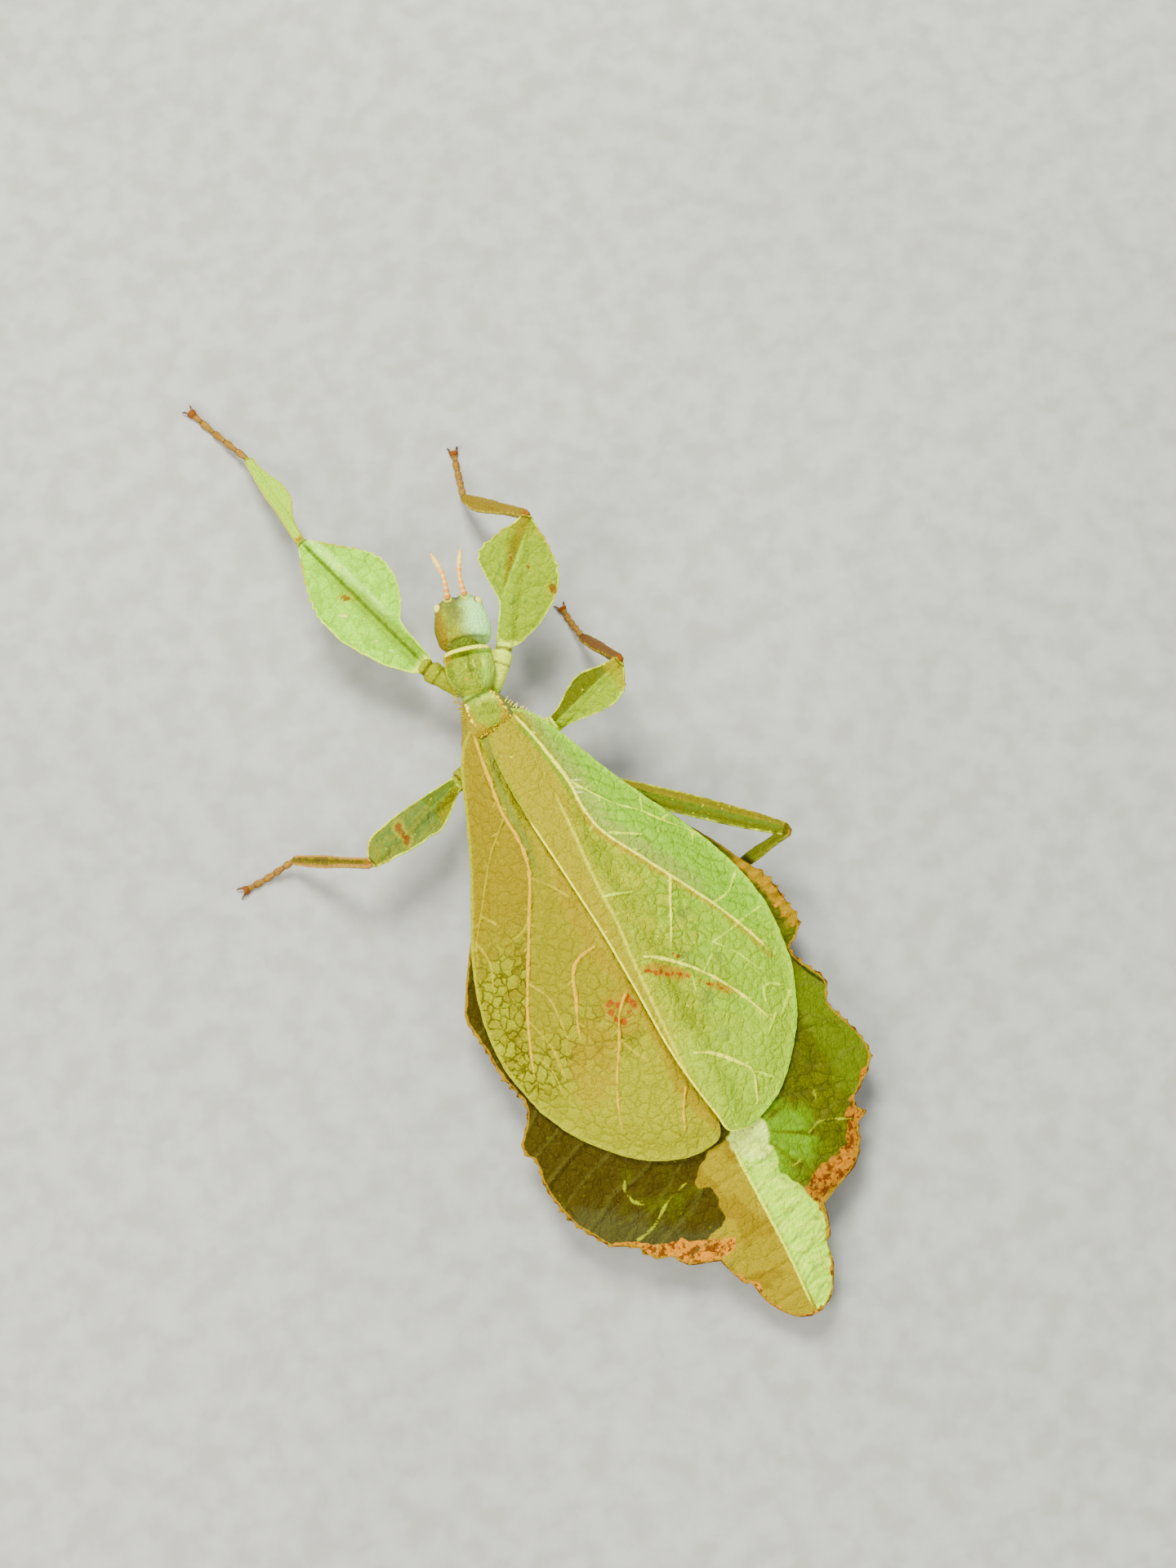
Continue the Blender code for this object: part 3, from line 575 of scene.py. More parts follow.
# The right wing's lime green is partly its own colour and partly painted cool light falling on the insect's
# right side.
WING_RIGHT = Finish(
    "wing_right_skin", Colour(161, 167, 0), Colour(134, 146, 0), 2.2,
    (
        # far: partly the wing's own lime and partly painted cool light on its outer half.
        Layer("far", Colour(141, 184, 0), 0.85, 0.45, 2.4, 0.5),
        Layer("low", Colour(150, 183, 0), 0.7, 0.4, 2.0, 0.5),
        Layer("costal", Colour(128, 184, 0), 0.95, 0.06, 0.6, 0.4),
        Layer("costal_grey", Colour(138, 159, 51), 0.9, 0.3, 1.0, 0.4),
        Layer("streaks", Colour(87, 138, 0), 0.5, 1.0, 0.5, 0.4),
        Layer("dash", Colour(245, 246, 160), 0.6, 0.3),
        Layer("gold", Colour(145, 133, 0), 0.95, 0.2, 1.6, 0.5),
        Layer("strip", Colour(130, 135, 0), 0.8, 0.3, 0.6, 0.5),
        Layer("lime", Colour(109, 135, 0), 0.95, 0.35, 0.6, 0.45),
        Layer("smudge", Colour(102, 117, 51), 0.4, 1.0, 0.7, 0.5),
        Layer("pale", Colour(208, 208, 0), 0.7, 0.2, 0.5, 0.45),
        Layer("blush", Colour(153, 120, 0), 0.9, 0.6, 0.7, 0.45),
        Layer("fleck", Colour(144, 66, 0), 0.95, 0.9, 0.35, 0.35),
        Layer("veinlet", Colour(211, 241, 0), 0.85, 0.2),
        Layer("fringe", Colour(155, 112, 0), 0.6, 0.9, 0.5, 0.45),
        Layer("yellow_vein", Colour(228, 246, 0), 0.9, 0.2), Layer("vein", CREAM, 0.97, 0.15),
        Layer("rim", Colour(158, 212, 0), 0.7, 0.3), Layer("lip", Colour(246, 246, 0), 0.95, 0.15),
    ),
    (
        Net(1.15, Colour(54, 90, 2), 0.95, Colour(143, 191, 0), 0.7, 0.11, 0.05, 0.1, "cells"),
        Net(0.42, Colour(104, 125, 0), 0.35, Colour(160, 188, 0), 0.3, 0.12, 0.02, 0.02),
    ),
    Colour(229, 246, 15), 0.08,
)
ABDOMEN = Finish(
    "abdomen_skin", Colour(63, 69, 2), Colour(75, 76, 11), 3.0,
    (
        # Painted shade: the abdomen's left half is darkened as if it lay in shadow.
        Layer("left_dark", Colour(47, 32, 0), 0.86, 0.4, 2.4, 0.4),
        Layer("grey_edge", Colour(63, 65, 31), 0.6, 0.6, 1.2, 0.45),
        Layer("bright", Colour(82, 101, 0), 0.75, 0.5, 1.8, 0.4),
        Layer("belly", Colour(110, 118, 14), 0.85, 0.3, 3.0),
        Layer("lime", Colour(97, 141, 0), 0.95, 0.4, 1.0, 0.5),
        Layer("gold", Colour(143, 126, 0), 0.97, 0.3, 0.8, 0.2),
        Layer("deep", Colour(119, 95, 0), 0.7, 0.5, 1.4, 0.4),
        Layer("blue", Colour(183, 233, 0), 0.97, 0.3, 0.8, 0.25),
        Layer("white", Colour(221, 246, 96), 0.85, 0.6, 0.7, 0.45),
        Layer("shadow", Colour(114, 137, 45), 0.5, 0.5, 0.6, 0.5),
        Layer("wrinkle", Colour(227, 246, 66), 0.4, 0.8, 0.5, 0.5),
        Layer("crust", Colour(169, 104, 0), 0.95, 0.5, 0.6, 0.25),
        Layer("crust_pale", Colour(203, 128, 0), 0.9, 0.8, 0.6, 0.25),
        Layer("crust_dark", Colour(69, 16, 5), 0.85, 0.9, 0.35, 0.2),
        Layer("line", Colour(156, 166, 0), 0.7, 0.4),
        # fold is painted shade: black in the right lobe's crease; it also darkens the furrows between
        # segments.
        Layer("ray", Colour(80, 81, 29), 0.3, 1.0, 0.6, 0.5), Layer("fold", Colour(0, 0, 0), 0.85, 0.3),
        Layer("rim", Colour(145, 112, 0), 0.9, 0.75, 0.9, 0.25),
        Layer("tooth", Colour(66, 10, 7), 0.85, 0.7, 0.5, 0.2),
        Layer("keel", Colour(230, 246, 0), 0.95, 0.25),
    ),
    (
        Net(1.4, Colour(35, 46, 1), 0.5, Colour(86, 94, 2), 0.4, 0.07, 0.04, 0.06),
        Net(0.5, Colour(51, 58, 3), 0.35, Colour(91, 98, 2), 0.3, 0.12, 0.02, 0.02),
    ),
    Colour(111, 116, 0), 0.06,
)
HEAD = Finish(
    "head_skin", Colour(132, 138, 4), Colour(110, 120, 17), 1.6,
    (
        # pale is painted cool light on the head's right side; flank is painted warm light on its left flank.
        Layer("pale", Colour(179, 246, 143), 0.97, 0.2, 1.2, 0.5),
        Layer("flank", Colour(122, 98, 0), 0.95, 0.25, 0.7, 0.5),
        Layer("outer", Colour(95, 100, 0), 0.85, 0.3, 0.6, 0.45),
        Layer("under", Colour(121, 135, 0), 0.85, 0.2, 1.0, 0.45),
        Layer("dull", Colour(86, 97, 39), 0.75, 0.5, 0.8, 0.5),
        # fold is painted shade along the fold at the back of the head and along the middle seam.
        Layer("fold", Colour(77, 86, 36), 0.6, 0.4, 0.5, 0.5),
        # nick is painted shade in the notch between the feelers and in the lip's creases.
        Layer("nick", Colour(51, 67, 65), 0.8, 0.4, 0.4, 0.5), Layer("rim", Colour(228, 216, 24), 0.7, 0.5),
    ),
    (Net(0.5, Colour(95, 101, 30), 0.3, Colour(173, 195, 0), 0.3, 0.14, 0.03, 0.04),),
    None, 0.1, 0.16, 0.06, (0.4, 0.56), 0.0, 0.35,
)
THORAX = Finish(
    "thorax_skin", Colour(116, 136, 0), Colour(100, 117, 0), 1.2,
    (
        Layer("pale", Colour(149, 191, 43), 0.95, 0.25, 0.9, 0.5),
        Layer("white", Colour(231, 246, 69), 0.9, 0.4, 0.7, 0.45),
        Layer("centre", Colour(128, 146, 0), 1.0, 0.35, 0.9, 0.5),
        Layer("dull", Colour(64, 92, 0), 0.5, 0.5, 0.5, 0.5),
        Layer("grey", Colour(79, 92, 50), 0.85, 0.3, 0.8, 0.4),
        Layer("under", Colour(106, 115, 19), 0.85, 0.2, 1.0, 0.45),
        # groove is painted shade in the neck shield's furrows and pits and under its rear edge; it also
        # darkens the neck and the lines between the rump's plates.
        Layer("groove", Colour(57, 72, 16), 0.8, 0.25, 0.4, 0.45),
        Layer("orange", Colour(157, 123, 0), 0.75, 0.6, 0.4, 0.45),
        Layer("rim", Colour(246, 246, 65), 0.97, 0.2),
        Layer("thin_rim", Colour(161, 175, 0), 0.85, 0.5, 0.4),
        Layer("dash", Colour(230, 246, 71), 0.8, 0.3),
        Layer("dot", Colour(163, 142, 0), 0.95, 0.2),
    ),
    (Net(0.42, Colour(86, 98, 6), 0.35, Colour(156, 183, 0), 0.35, 0.14, 0.03, 0.05),),
    None, 0.1, 0.16, 0.06, (0.4, 0.58), 0.0, 0.35,
)
LEAF = Finish(
    "leaf_skin", Colour(143, 213, 0), Colour(125, 184, 0), 2.4,
    (
        Layer("warm", Colour(130, 153, 0), 0.95, 0.15, 1.6, 0.45),
        Layer("mustard", Colour(105, 91, 0), 0.9, 0.3, 1.0, 0.5),
        Layer("olive", Colour(75, 80, 7), 0.92, 0.25, 1.0, 0.45),
        Layer("grey", Colour(97, 97, 34), 0.9, 0.3, 1.2, 0.45),
        Layer("band", Colour(184, 246, 84), 0.85, 0.35, 0.9, 0.45),
        Layer("base_dark", Colour(114, 154, 0), 0.85, 0.3, 1.2, 0.5),
        Layer("rib", Colour(71, 97, 7), 0.9, 0.2, 0.6, 0.4),
        Layer("ridge", Colour(148, 191, 0), 0.75, 0.3, 0.5, 0.4),
        Layer("streak", Colour(65, 101, 39), 0.6, 0.8, 0.7, 0.3),
        Layer("gold", Colour(136, 131, 0), 0.9, 0.3, 0.8, 0.4),
        Layer("pale_end", Colour(228, 246, 61), 0.85, 0.5, 0.6, 0.4),
        Layer("rim", Colour(222, 246, 0), 0.75, 0.6, 0.8, 0.4),
        Layer("tooth", Colour(156, 133, 0), 0.7, 0.5),
        Layer("halo", Colour(162, 155, 0), 0.35, 0.6, 0.5, 0.5),
        Layer("spot", Colour(108, 44, 11), 0.8, 0.8, 0.3, 0.4),
        Layer("glint", Colour(246, 246, 141), 0.7, 0.4, 0.4, 0.5),
        Layer("joint", Colour(53, 38, 9), 0.75, 0.3, 0.3, 0.4),
    ),
    (
        Net(1.1, Colour(99, 144, 0), 0.35, Colour(172, 246, 0), 0.3, 0.07, 0.03, 0.08),
        Net(0.4, Colour(108, 156, 0), 0.2, Colour(172, 246, 0), 0.2, 0.12, 0.015, 0.015),
    ),
    Colour(226, 246, 0), 0.05,
)
SHANK = Finish(
    "shank_skin", Colour(113, 99, 6), Colour(95, 81, 20), 1.0,
    (
        Layer("lobe", Colour(161, 205, 0), 0.95, 0.2, 0.6, 0.35),
        Layer("mustard", Colour(123, 101, 0), 0.92, 0.2, 0.8, 0.4),
        Layer("brown", Colour(92, 52, 15), 0.9, 0.2, 0.8, 0.4),
        Layer("green", Colour(106, 115, 23), 0.9, 0.2, 0.8, 0.4),
        Layer("orange", Colour(134, 67, 0), 0.85, 0.3, 0.5, 0.4),
        Layer("pink", Colour(176, 113, 59), 0.75, 0.3, 0.6, 0.4),
        Layer("rib", Colour(64, 53, 15), 0.6, 0.3), Layer("pad", Colour(118, 57, 17), 0.85, 0.3, 0.5, 0.4),
        Layer("joint", Colour(64, 37, 17), 0.55, 0.3, 0.4, 0.5),
        Layer("rim", Colour(182, 177, 0), 0.6, 0.7, 0.5, 0.4),
    ),
    (Net(0.4, Colour(70, 56, 15), 0.35, Colour(151, 137, 0), 0.3, 0.14, 0.03, 0.03),),
    Colour(64, 39, 13), 0.08, 0.18, 0.05,
)
CLAW = Finish(
    "claw_horn", Colour(71, 33, 14), Colour(45, 4, 6), 0.5,
    (Layer("point", Colour(6, 0, 15), 1.0, 0.0, 0.5, 0.5),),
    grain=0.1, relief=0.01, roughness=(0.22, 0.36), coat=0.3, gloss=0.5,
)
FEELER = Finish(
    "feeler_skin", Colour(246, 157, 37), Colour(246, 173, 55), 0.5,
    (
        Layer("root", Colour(199, 116, 0), 0.8, 0.2, 0.4, 0.5),
        Layer("joint", Colour(246, 231, 125), 0.6, 0.2, 0.3, 0.5),
    ),
    grain=0.1, relief=0.03, sheen=(1.0, 1.0, 1.0, 1.0),
)
PALP = Finish(
    "palp_skin", Colour(149, 152, 34), Colour(181, 163, 29), 0.5,
    (Layer("joint", Colour(246, 246, 82), 0.85, 0.1, 0.3, 0.45),), grain=0.1, relief=0.03,
)
EYE = Finish(
    "eye_facets", Colour(246, 246, 102), Colour(246, 244, 0), 0.4,
    (Layer("ring", Colour(94, 76, 17), 0.9, 0.2, 0.3, 0.5),),
    (Net(0.06, Colour(146, 131, 35), 0.5, Colour(246, 246, 58), 0.3, 0.12, 0.004, 0.01),), grain=0.08,
    relief=0.004,
    roughness=(0.14, 0.24), coat=0.5, gloss=0.5, sheen=(1.0, 1.0, 1.0, 1.0),
)
SPINE = Finish("spine_horn", Colour(246, 246, 99), Colour(246, 223, 0), 0.6, grain=0.1, relief=0.01)
BRISTLE = Finish("bristle_horn", Colour(152, 127, 0), Colour(174, 164, 0), 0.5, grain=0.1, relief=0.01)
BEAD = Finish("bead_horn", Colour(241, 215, 0), Colour(179, 142, 0), 0.5, grain=0.1, relief=0.03)
FLOOR = Finish(
    "floor_paint", Colour(166, 167, 161), Colour(161, 162, 157), 60.0, grain=3.0, relief=0.02, gloss=0.1
)


# Meshes


@dataclass
class Shell:
    """A closed skin through rings of points.

    Attributes:
        rings: Points of the body in millimetres, as rings, points of a ring, and x, y, z.
        finish: What it is dressed in.
        masks: Masks by name, each with one value for each point.
    """

    rings: Array
    finish: Finish
    masks: dict[str, Array] = field(default_factory=dict)

    def points(self) -> Array:
        """All points, with the middles of both ends last."""
        ends = [self.rings[0].mean(0), self.rings[-1].mean(0)]
        return np.vstack([self.rings.reshape(-1, 3), *ends])

    def mask_values(self, name: str) -> Array:
        """One mask's value at each of the points.

        Args:
            name: The mask's name.

        Returns:
            A value for each point, 0 where it has no such mask.
        """
        count, around = self.rings.shape[:2]
        if name not in self.masks:
            return np.zeros(count * around + 2)
        mask = np.broadcast_to(self.masks[name], (count, around))
        return np.concatenate([mask.ravel(), [mask[0].mean(), mask[-1].mean()]])

    def faces(self) -> tuple[Array, Array]:
        """Quads between the rings and triangles over the ends, all facing out.

        Returns:
            The corners of the quads and of the triangles.
        """
        count, around = self.rings.shape[:2]
        row = np.arange(around)
        after = (row + 1) % around
        first = np.arange(count - 1)[:, None] * around
        quads = np.stack([first + row, first + after, first + around + after, first + around + row], -1)
        quads = quads.reshape(-1, 4)
        last, tip = (count - 1) * around, count * around
        start = np.stack([np.full(around, tip), after, row], -1)
        end = np.stack([np.full(around, tip + 1), last + row, last + after], -1)
        triangles = np.vstack([start, end])
        points = self.points()
        points = points - points.mean(0)
        a, b, c, d = (points[quads[:, k]] for k in range(4))
        volume = (np.cross(a, b) * c).sum() + (np.cross(a, c) * d).sum()
        if volume < 0:
            return quads[:, ::-1], triangles[:, ::-1]
        return quads, triangles


def add_piece(name: str, shells: Sequence[Shell], nodes: Sequence[str] = ()) -> bpy.types.Object:
    """Makes one piece of the insect from its shells.

    Args:
        name: The piece's name.
        shells: Its closed skins, which may overlap.
        nodes: The solids that it stands for.

    Returns:
        The piece, which rides on the insect's one body.
    """
    points, quads, triangles, kinds, finishes = [], [], [], [[], []], []
    start = 0
    for shell in shells:
        if shell.finish not in finishes:
            finishes.append(shell.finish)
        made = shell.points()
        squares, ends = shell.faces()
        points.append(made)
        quads.append(squares + start)
        triangles.append(ends + start)
        for kind, rows in zip(kinds, (squares, ends)):
            kind.append(np.full(len(rows), finishes.index(shell.finish)))
        start += len(made)
    vertices = (np.vstack(points) + ROOT_AT) * MM
    quads, triangles = np.vstack(quads), np.vstack(triangles)
    mesh = bpy.data.meshes.new(name)
    mesh.vertices.add(len(vertices))
    mesh.vertices.foreach_set("co", vertices.astype(np.float32).ravel())
    mesh.loops.add(quads.size + triangles.size)
    mesh.loops.foreach_set(
        "vertex_index", np.concatenate([quads.ravel(), triangles.ravel()]).astype(np.int32)
    )
    mesh.polygons.add(len(quads) + len(triangles))
    starts = [np.arange(len(quads)) * 4, quads.size + np.arange(len(triangles)) * 3]
    mesh.polygons.foreach_set("loop_start", np.concatenate(starts).astype(np.int32))
    mesh.polygons.foreach_set("material_index", np.concatenate([*kinds[0], *kinds[1]]).astype(np.int32))
    mesh.update(calc_edges=True)
    for mask in sorted(
        {layer.mask for finish in finishes for layer in (*finish.layers, *finish.nets)} - {""}
    ):
        values = np.concatenate([shell.mask_values(mask) for shell in shells])
        attribute = mesh.attributes.new(mask, "FLOAT", "POINT")
        attribute.data.foreach_set("value", np.clip(values, 0, 1).astype(np.float32))
    mesh.validate()
    mesh.shade_smooth()
    for finish in finishes:
        mesh.materials.append(finish.material())
    piece = bpy.data.objects.new(name, mesh)
    bpy.context.scene.collection.objects.link(piece)
    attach(piece, "root")
    if nodes:
        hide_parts(*nodes)
    return piece


@dataclass(frozen=True)
class Place:
    """Where a piece of the head or thorax stands on the body, turned about the upright."""

    x: float
    y: float
    turn: float

    def set(self, points: Array) -> Array:
        """The piece's own points, in place on the body.

        Args:
            points: Points on the piece's own axes.

        Returns:
            The same points on the body.
        """
        c, d = math.cos(math.radians(self.turn)), math.sin(math.radians(self.turn))
        x, y, z = np.moveaxis(points, -1, 0)
        return np.stack([self.x + c * x + d * y, self.y - d * x + c * y, z], -1)


def tube(path: Array, radii: Array, sides: int = 14, flat: float = 1.0) -> Array:
    """Rings across a path, none of them below the floor.

    Args:
        path: Points in space along the middle.
        radii: The radius at each of them.
        sides: The points of each ring.
        flat: The height of a ring as a share of its width.

    Returns:
        The rings.
    """
    along = np.gradient(path, axis=0)
    along /= np.linalg.norm(along, axis=1)[:, None]
    side = np.cross(along, (0, 0, 1))
    side /= np.linalg.norm(side, axis=1)[:, None]
    up = np.cross(side, along)
    angle = 2 * np.pi * np.arange(sides) / sides
    across = (
        np.cos(angle)[None, :, None] * side[:, None] + flat * np.sin(angle)[None, :, None] * up[:, None]
    )
    rings = path[:, None] + np.asarray(radii)[:, None, None] * across
    rings[..., 2] = np.maximum(rings[..., 2], 0.0)
    return rings


def pellet(middle: Sequence[float], radii: Sequence[float], sides: int = 12, rows: int = 8) -> Array:
    """Rings of an egg-like bead about a point.

    Args:
        middle: Its middle.
        radii: Its three radii.
        sides: The points of each ring.
        rows: How many rings it has.

    Returns:
        The rings.
    """
    angle = np.linspace(0.12, np.pi - 0.12, rows)[:, None]
    turn = 2 * np.pi * np.arange(sides) / sides
    shape = np.stack(
        np.broadcast_arrays(np.sin(angle) * np.cos(turn), np.sin(angle) * np.sin(turn), np.cos(angle)), -1
    )
    return np.array(middle) + shape * np.array(radii)


def thorn(root: Sequence[float], along: Sequence[float], radius: float) -> Array:
    """Rings of a tapering spine, which leans a little down at its point.

    Args:
        root: Where it starts.
        along: From there to its point.
        radius: Its radius there.

    Returns:
        The rings.
    """
    root, along = np.array(root, float), np.array(along, float)
    share = np.linspace(-0.25, 1, 8)
    bend = np.outer(np.maximum(share, 0) ** 2, (0, 0, -0.15 * np.linalg.norm(along)))
    return tube(root + share[:, None] * along + bend, radius * (1.02 - np.clip(share, 0, 1)) ** 0.8, 8)


# The back, which the abdomen and both wings share


@dataclass(frozen=True)
class Back:
    """The body in profile: a crown, a plane of side lobes with a dome between them, and a belly."""

    crown: Pairs = (
        (-3, 7.7), (0, 7.9), (10, 8.3), (20, 8.8), (28, 8.9), (36, 8.2), (44, 6.7), (50, 5.5), (56, 4.6),
        (64, 2.9),
    )
    rim: Pairs = (
        (0, 6.6), (8, 6.5), (13, 6.2), (18, 5.5), (24, 4.8), (30, 4.6), (45, 4.4), (52, 4.1), (58, 3.4),
        (64, 2.3),
    )
    dome: Pairs = ((0, 5.5), (8, 8.5), (16, 11.5), (28, 13.5), (40, 12.5), (48, 9.5), (56, 6.0), (64, 2.6))
    belly: Pairs = (
        (9, 3.0), (13, 1.5), (18, 0.1), (22, -0.6), (40, -0.6), (45, 0.4), (51, 1.7), (57, 2.0), (64, 1.7)
    )
    belly_half: Pairs = (
        (9, 4.4), (13, 5.6), (20, 7.4), (30, 8.0), (44, 7.0), (52, 5.4), (58, 3.6), (64, 1.4)
    )
    roundness: float = 1.3
    droop: float = 0.6
    reach: float = 17.0
    lobe: float = 0.8

    def height(self, x: Array, s: Array) -> Array:
        """Height of the back over the plan.

        Args:
            x: Each point's x.
            s: Its distance back.

        Returns:
            The height at each point.
        """
        rim = Profile(self.rim)(s)
        across = np.minimum(np.abs(x) / Profile(self.dome)(s), 1)
        rise = (Profile(self.crown)(s) - rim) * (1 - across * across) ** self.roundness
        return rim - self.droop * (x / self.reach) ** 2 + rise

    def under(self, x: Array, s: Array) -> Array:
        """Height of the underside over the plan.

        Args:
            x: Each point's x.
            s: Its distance back.

        Returns:
            The height at each point, never below the floor.
        """
        plane = Profile(self.rim)(s) - self.lobe - self.droop * (x / self.reach) ** 2
        across = np.minimum(np.abs(x) / Profile(self.belly_half)(s), 1)
        full = plane + (Profile(self.belly)(s) - plane) * (1 - across * across)
        return np.maximum(np.minimum(self.height(x, s) - self.lobe, full), 0)


BACK = Back()


def bow(low: Array, high: Array, count: int) -> Array:
    """Places across a plate between its two edges, closer together near them.

    Args:
        low: One edge at each ring.
        high: The other edge.
        count: The places of a ring.

    Returns:
        The places, one row for each ring.
    """
    share = np.linspace(0, 1, count)
    share = 0.75 * share + 0.25 * (0.5 - 0.5 * np.cos(np.pi * share))
    return low[:, None] + share * (high - low)[:, None]


def round_plate(top: Array, bottom: Array) -> Array:
    """Joins what a plate has over and under it as rings, with a three times coarser underside."""
    kept = [0, *range(3, top.shape[1] - 2, 3), top.shape[1] - 1]
    return np.concatenate([top, bottom[:, ::-1][:, kept]], axis=1)


def closed_rings(x: Array, y: Array, top: Array, bottom: Array) -> Array:
    """Rings round a plate, over its top and back under it."""
    return round_plate(np.stack([x, y, top], -1), np.stack([x, y, bottom], -1))


def both_faces(mask: Array, under: float = 1.0) -> Array:
    """A mask of a plate's top, for the rings round it."""
    return round_plate(mask, under * mask)


# Wings


@dataclass
class Tegmen:
    """One closed forewing: a thin leathery leaf with raised veins that lies over the abdomen."""

    side: Side
    finish: Finish
    slot: str
    inner: Pairs
    outer: Pairs
    veins: Pairs
    veinlets: Pairs
    margin: Pairs = (
        (2.3, -1.0), (3.8, 0.2), (5.1, 2.4), (6.6, 6.0), (8.3, 10.0), (10.2, 13.8), (12.4, 17.9),
        (14.3, 22.8), (15.1, 28.0), (14.4, 33.6), (12.6, 38.0), (10.2, 41.3), (7.5, 43.9), (4.7, 45.4),
        (2.4, 45.9),
    )
    main: Pairs = (
        (2.2, -0.2), (2.8, 2.6), (3.2, 5.3), (3.6, 8.2), (3.5, 11.6), (4.1, 14.6), (5.9, 17.9), (7.7, 21.0),
        (9.2, 23.6), (10.8, 26.5), (12.2, 29.7), (13.1, 32.2),
    )
    gap: float = 0.42
    membrane: float = 0.55
    thickness: float = 0.24
    lap_rise: float = 0.85
    vein_height: float = 0.36
    rings: int = 430
    across: int = 140

    def build(self) -> None:
        """Makes the wing's skin."""
        s, inner, edge = self._outline()
        x = bow(inner, edge, self.across)
        s = np.broadcast_to(s[:, None], x.shape)
        here = np.stack([x, s, np.zeros_like(x)], -1) + self.side.value * 40
        to_edge = near_line(x, s, bent_line(self.margin, 1.0), 6.0).distance
        to_inner = x - inner[:, None]
        relief, masks = self._veins(x, s, here)
        settle = ease(0.0, 3.2, to_edge)
        if self.side is Side.RIGHT:
            lap = self.lap_rise * (1 - ease(1.5, 3.6, x)) * ease(7.5, 12.5, s)
        else:
            lap = -0.55 * (1 - ease(1.6, 2.6, x)) * (1 - ease(8.5, 12.5, s))
        height = BACK.height(x, s) + self.gap + lap - 0.32 * (1 - settle)
        relief = (
            relief * ease(0.1, 0.9, to_edge) + 0.1 * GRAIN(here, 3.2) * settle
            + 0.035 * GRAIN(here, 0.9) * settle
        )
        top = height + self.membrane * (0.5 + 0.5 * settle) + relief + 0.07 * bump(to_edge - 0.25, 0.18)
        thin = 0.35 + 0.65 * ease(0, 0.6, np.minimum(to_edge, to_inner + 0.1))
        masks |= self._zones(x, s, to_edge, to_inner, here)
        rings = closed_rings(self.side.value * x, -s, top, top - self.thickness * thin)
        masks = {name: both_faces(mask, 0.7) for name, mask in masks.items()}
        suffix = "r" if self.side is Side.RIGHT else "l"
        add_piece(f"wing_{suffix}", [Shell(rings, self.finish, masks)], [f"tegmen_{suffix}"])

    def _outline(self) -> tuple[Array, Array, Array]:
        """The distance back of each ring, with its inner and outer ends.

        Returns:
            The distances, the inner ends and the outer ends.
        """
        share = np.linspace(0, 1, self.rings)
        share = 0.7 * share + 0.3 * (0.5 - 0.5 * np.cos(np.pi * share))
        margin, inner = bent_line(self.margin, 0.15), bent_line(self.inner, 0.15)
        s = margin[0, 1] + 0.02 + share * (margin[-1, 1] - margin[0, 1] - 0.04)
        edge = np.interp(s, margin[:, 1], margin[:, 0])
        inner_x = np.interp(s, inner[:, 1], inner[:, 0])
        here = np.stack([edge, s, np.zeros_like(s)], -1) + self.side.value * 9
        wave = 0.06 * GRAIN(here, 1.3) + 0.03 * GRAIN(here, 0.5)
        return s, np.minimum(inner_x, edge - 0.05), edge + wave * ease(2, 8, s)

    def _veins(self, x: Array, s: Array, here: Array) -> tuple[Array, dict[str, Array]]:
        """The veins' relief, and the masks of their colours.

        Args:
            x: Each point's x.
            s: Its distance back.
            here: The place that its noise is read at.

        Returns:
            The relief in millimetres, and the masks.
        """
        relief = np.zeros_like(x)
        masks = {name: np.zeros_like(x) for name in ("vein", "yellow_vein", "veinlet", "fringe", "lime")}
        uneven = 1 + 0.35 * GRAIN(here, 0.7)
        sway = 0.09 * GRAIN(here, 1.1)
        strong = [(self.main, "vein", 0.19), (self.outer, "yellow_vein", 0.11)]
        strong += [(vein, "vein", 0.14) for vein in self.veins]
        spurs = []
        for points, mask, width in strong:
            line = bent_line(points, 0.8)
            near = near_line(x, s, line)
            fade = ease(
                0, 2.2, np.minimum(near.along + 1.2 - 0.6 * (points is self.main), near.length - near.along)
            )
            width = width * uneven * (1.15 - 0.45 * near.along / near.length)
            distance = np.abs(near.distance + sway * (points is not self.main))
            relief = np.maximum(
                relief, fade * np.minimum(1, width / 0.2) * self.vein_height * bump(distance, 1.1 * width)
            )
            masks[mask] = np.maximum(masks[mask], np.sqrt(fade) * bump(distance, width))
            spurs += self._spurs(line)
            if points is self.main:
                inside = np.where(near.side > 0, 1.0, 0.0)
                masks["fringe"] = inside * bump(distance - 0.3, 0.24) * ease(9, 12, near.along)
                masks["lime"] = (
                    inside * bump(distance - 0.35, 0.3) * ease(0, 2, near.along)
                    * (1 - ease(10, 13, near.along))
                )
        for points in (*self.veinlets, *spurs):
            near = near_line(x, s, bent_line(points, 0.8), 1.5)
            fade = ease(-0.2, 0.8, near.length - near.along)
            distance = np.abs(near.distance + sway)
            width = 0.13 if len(points) > 3 or near.length > 1.3 else 0.09
            relief = np.maximum(relief, 0.8 * width * fade * bump(distance, width))
            masks["veinlet"] = np.maximum(masks["veinlet"], fade * bump(distance, 0.9 * width * uneven))
        return relief, masks

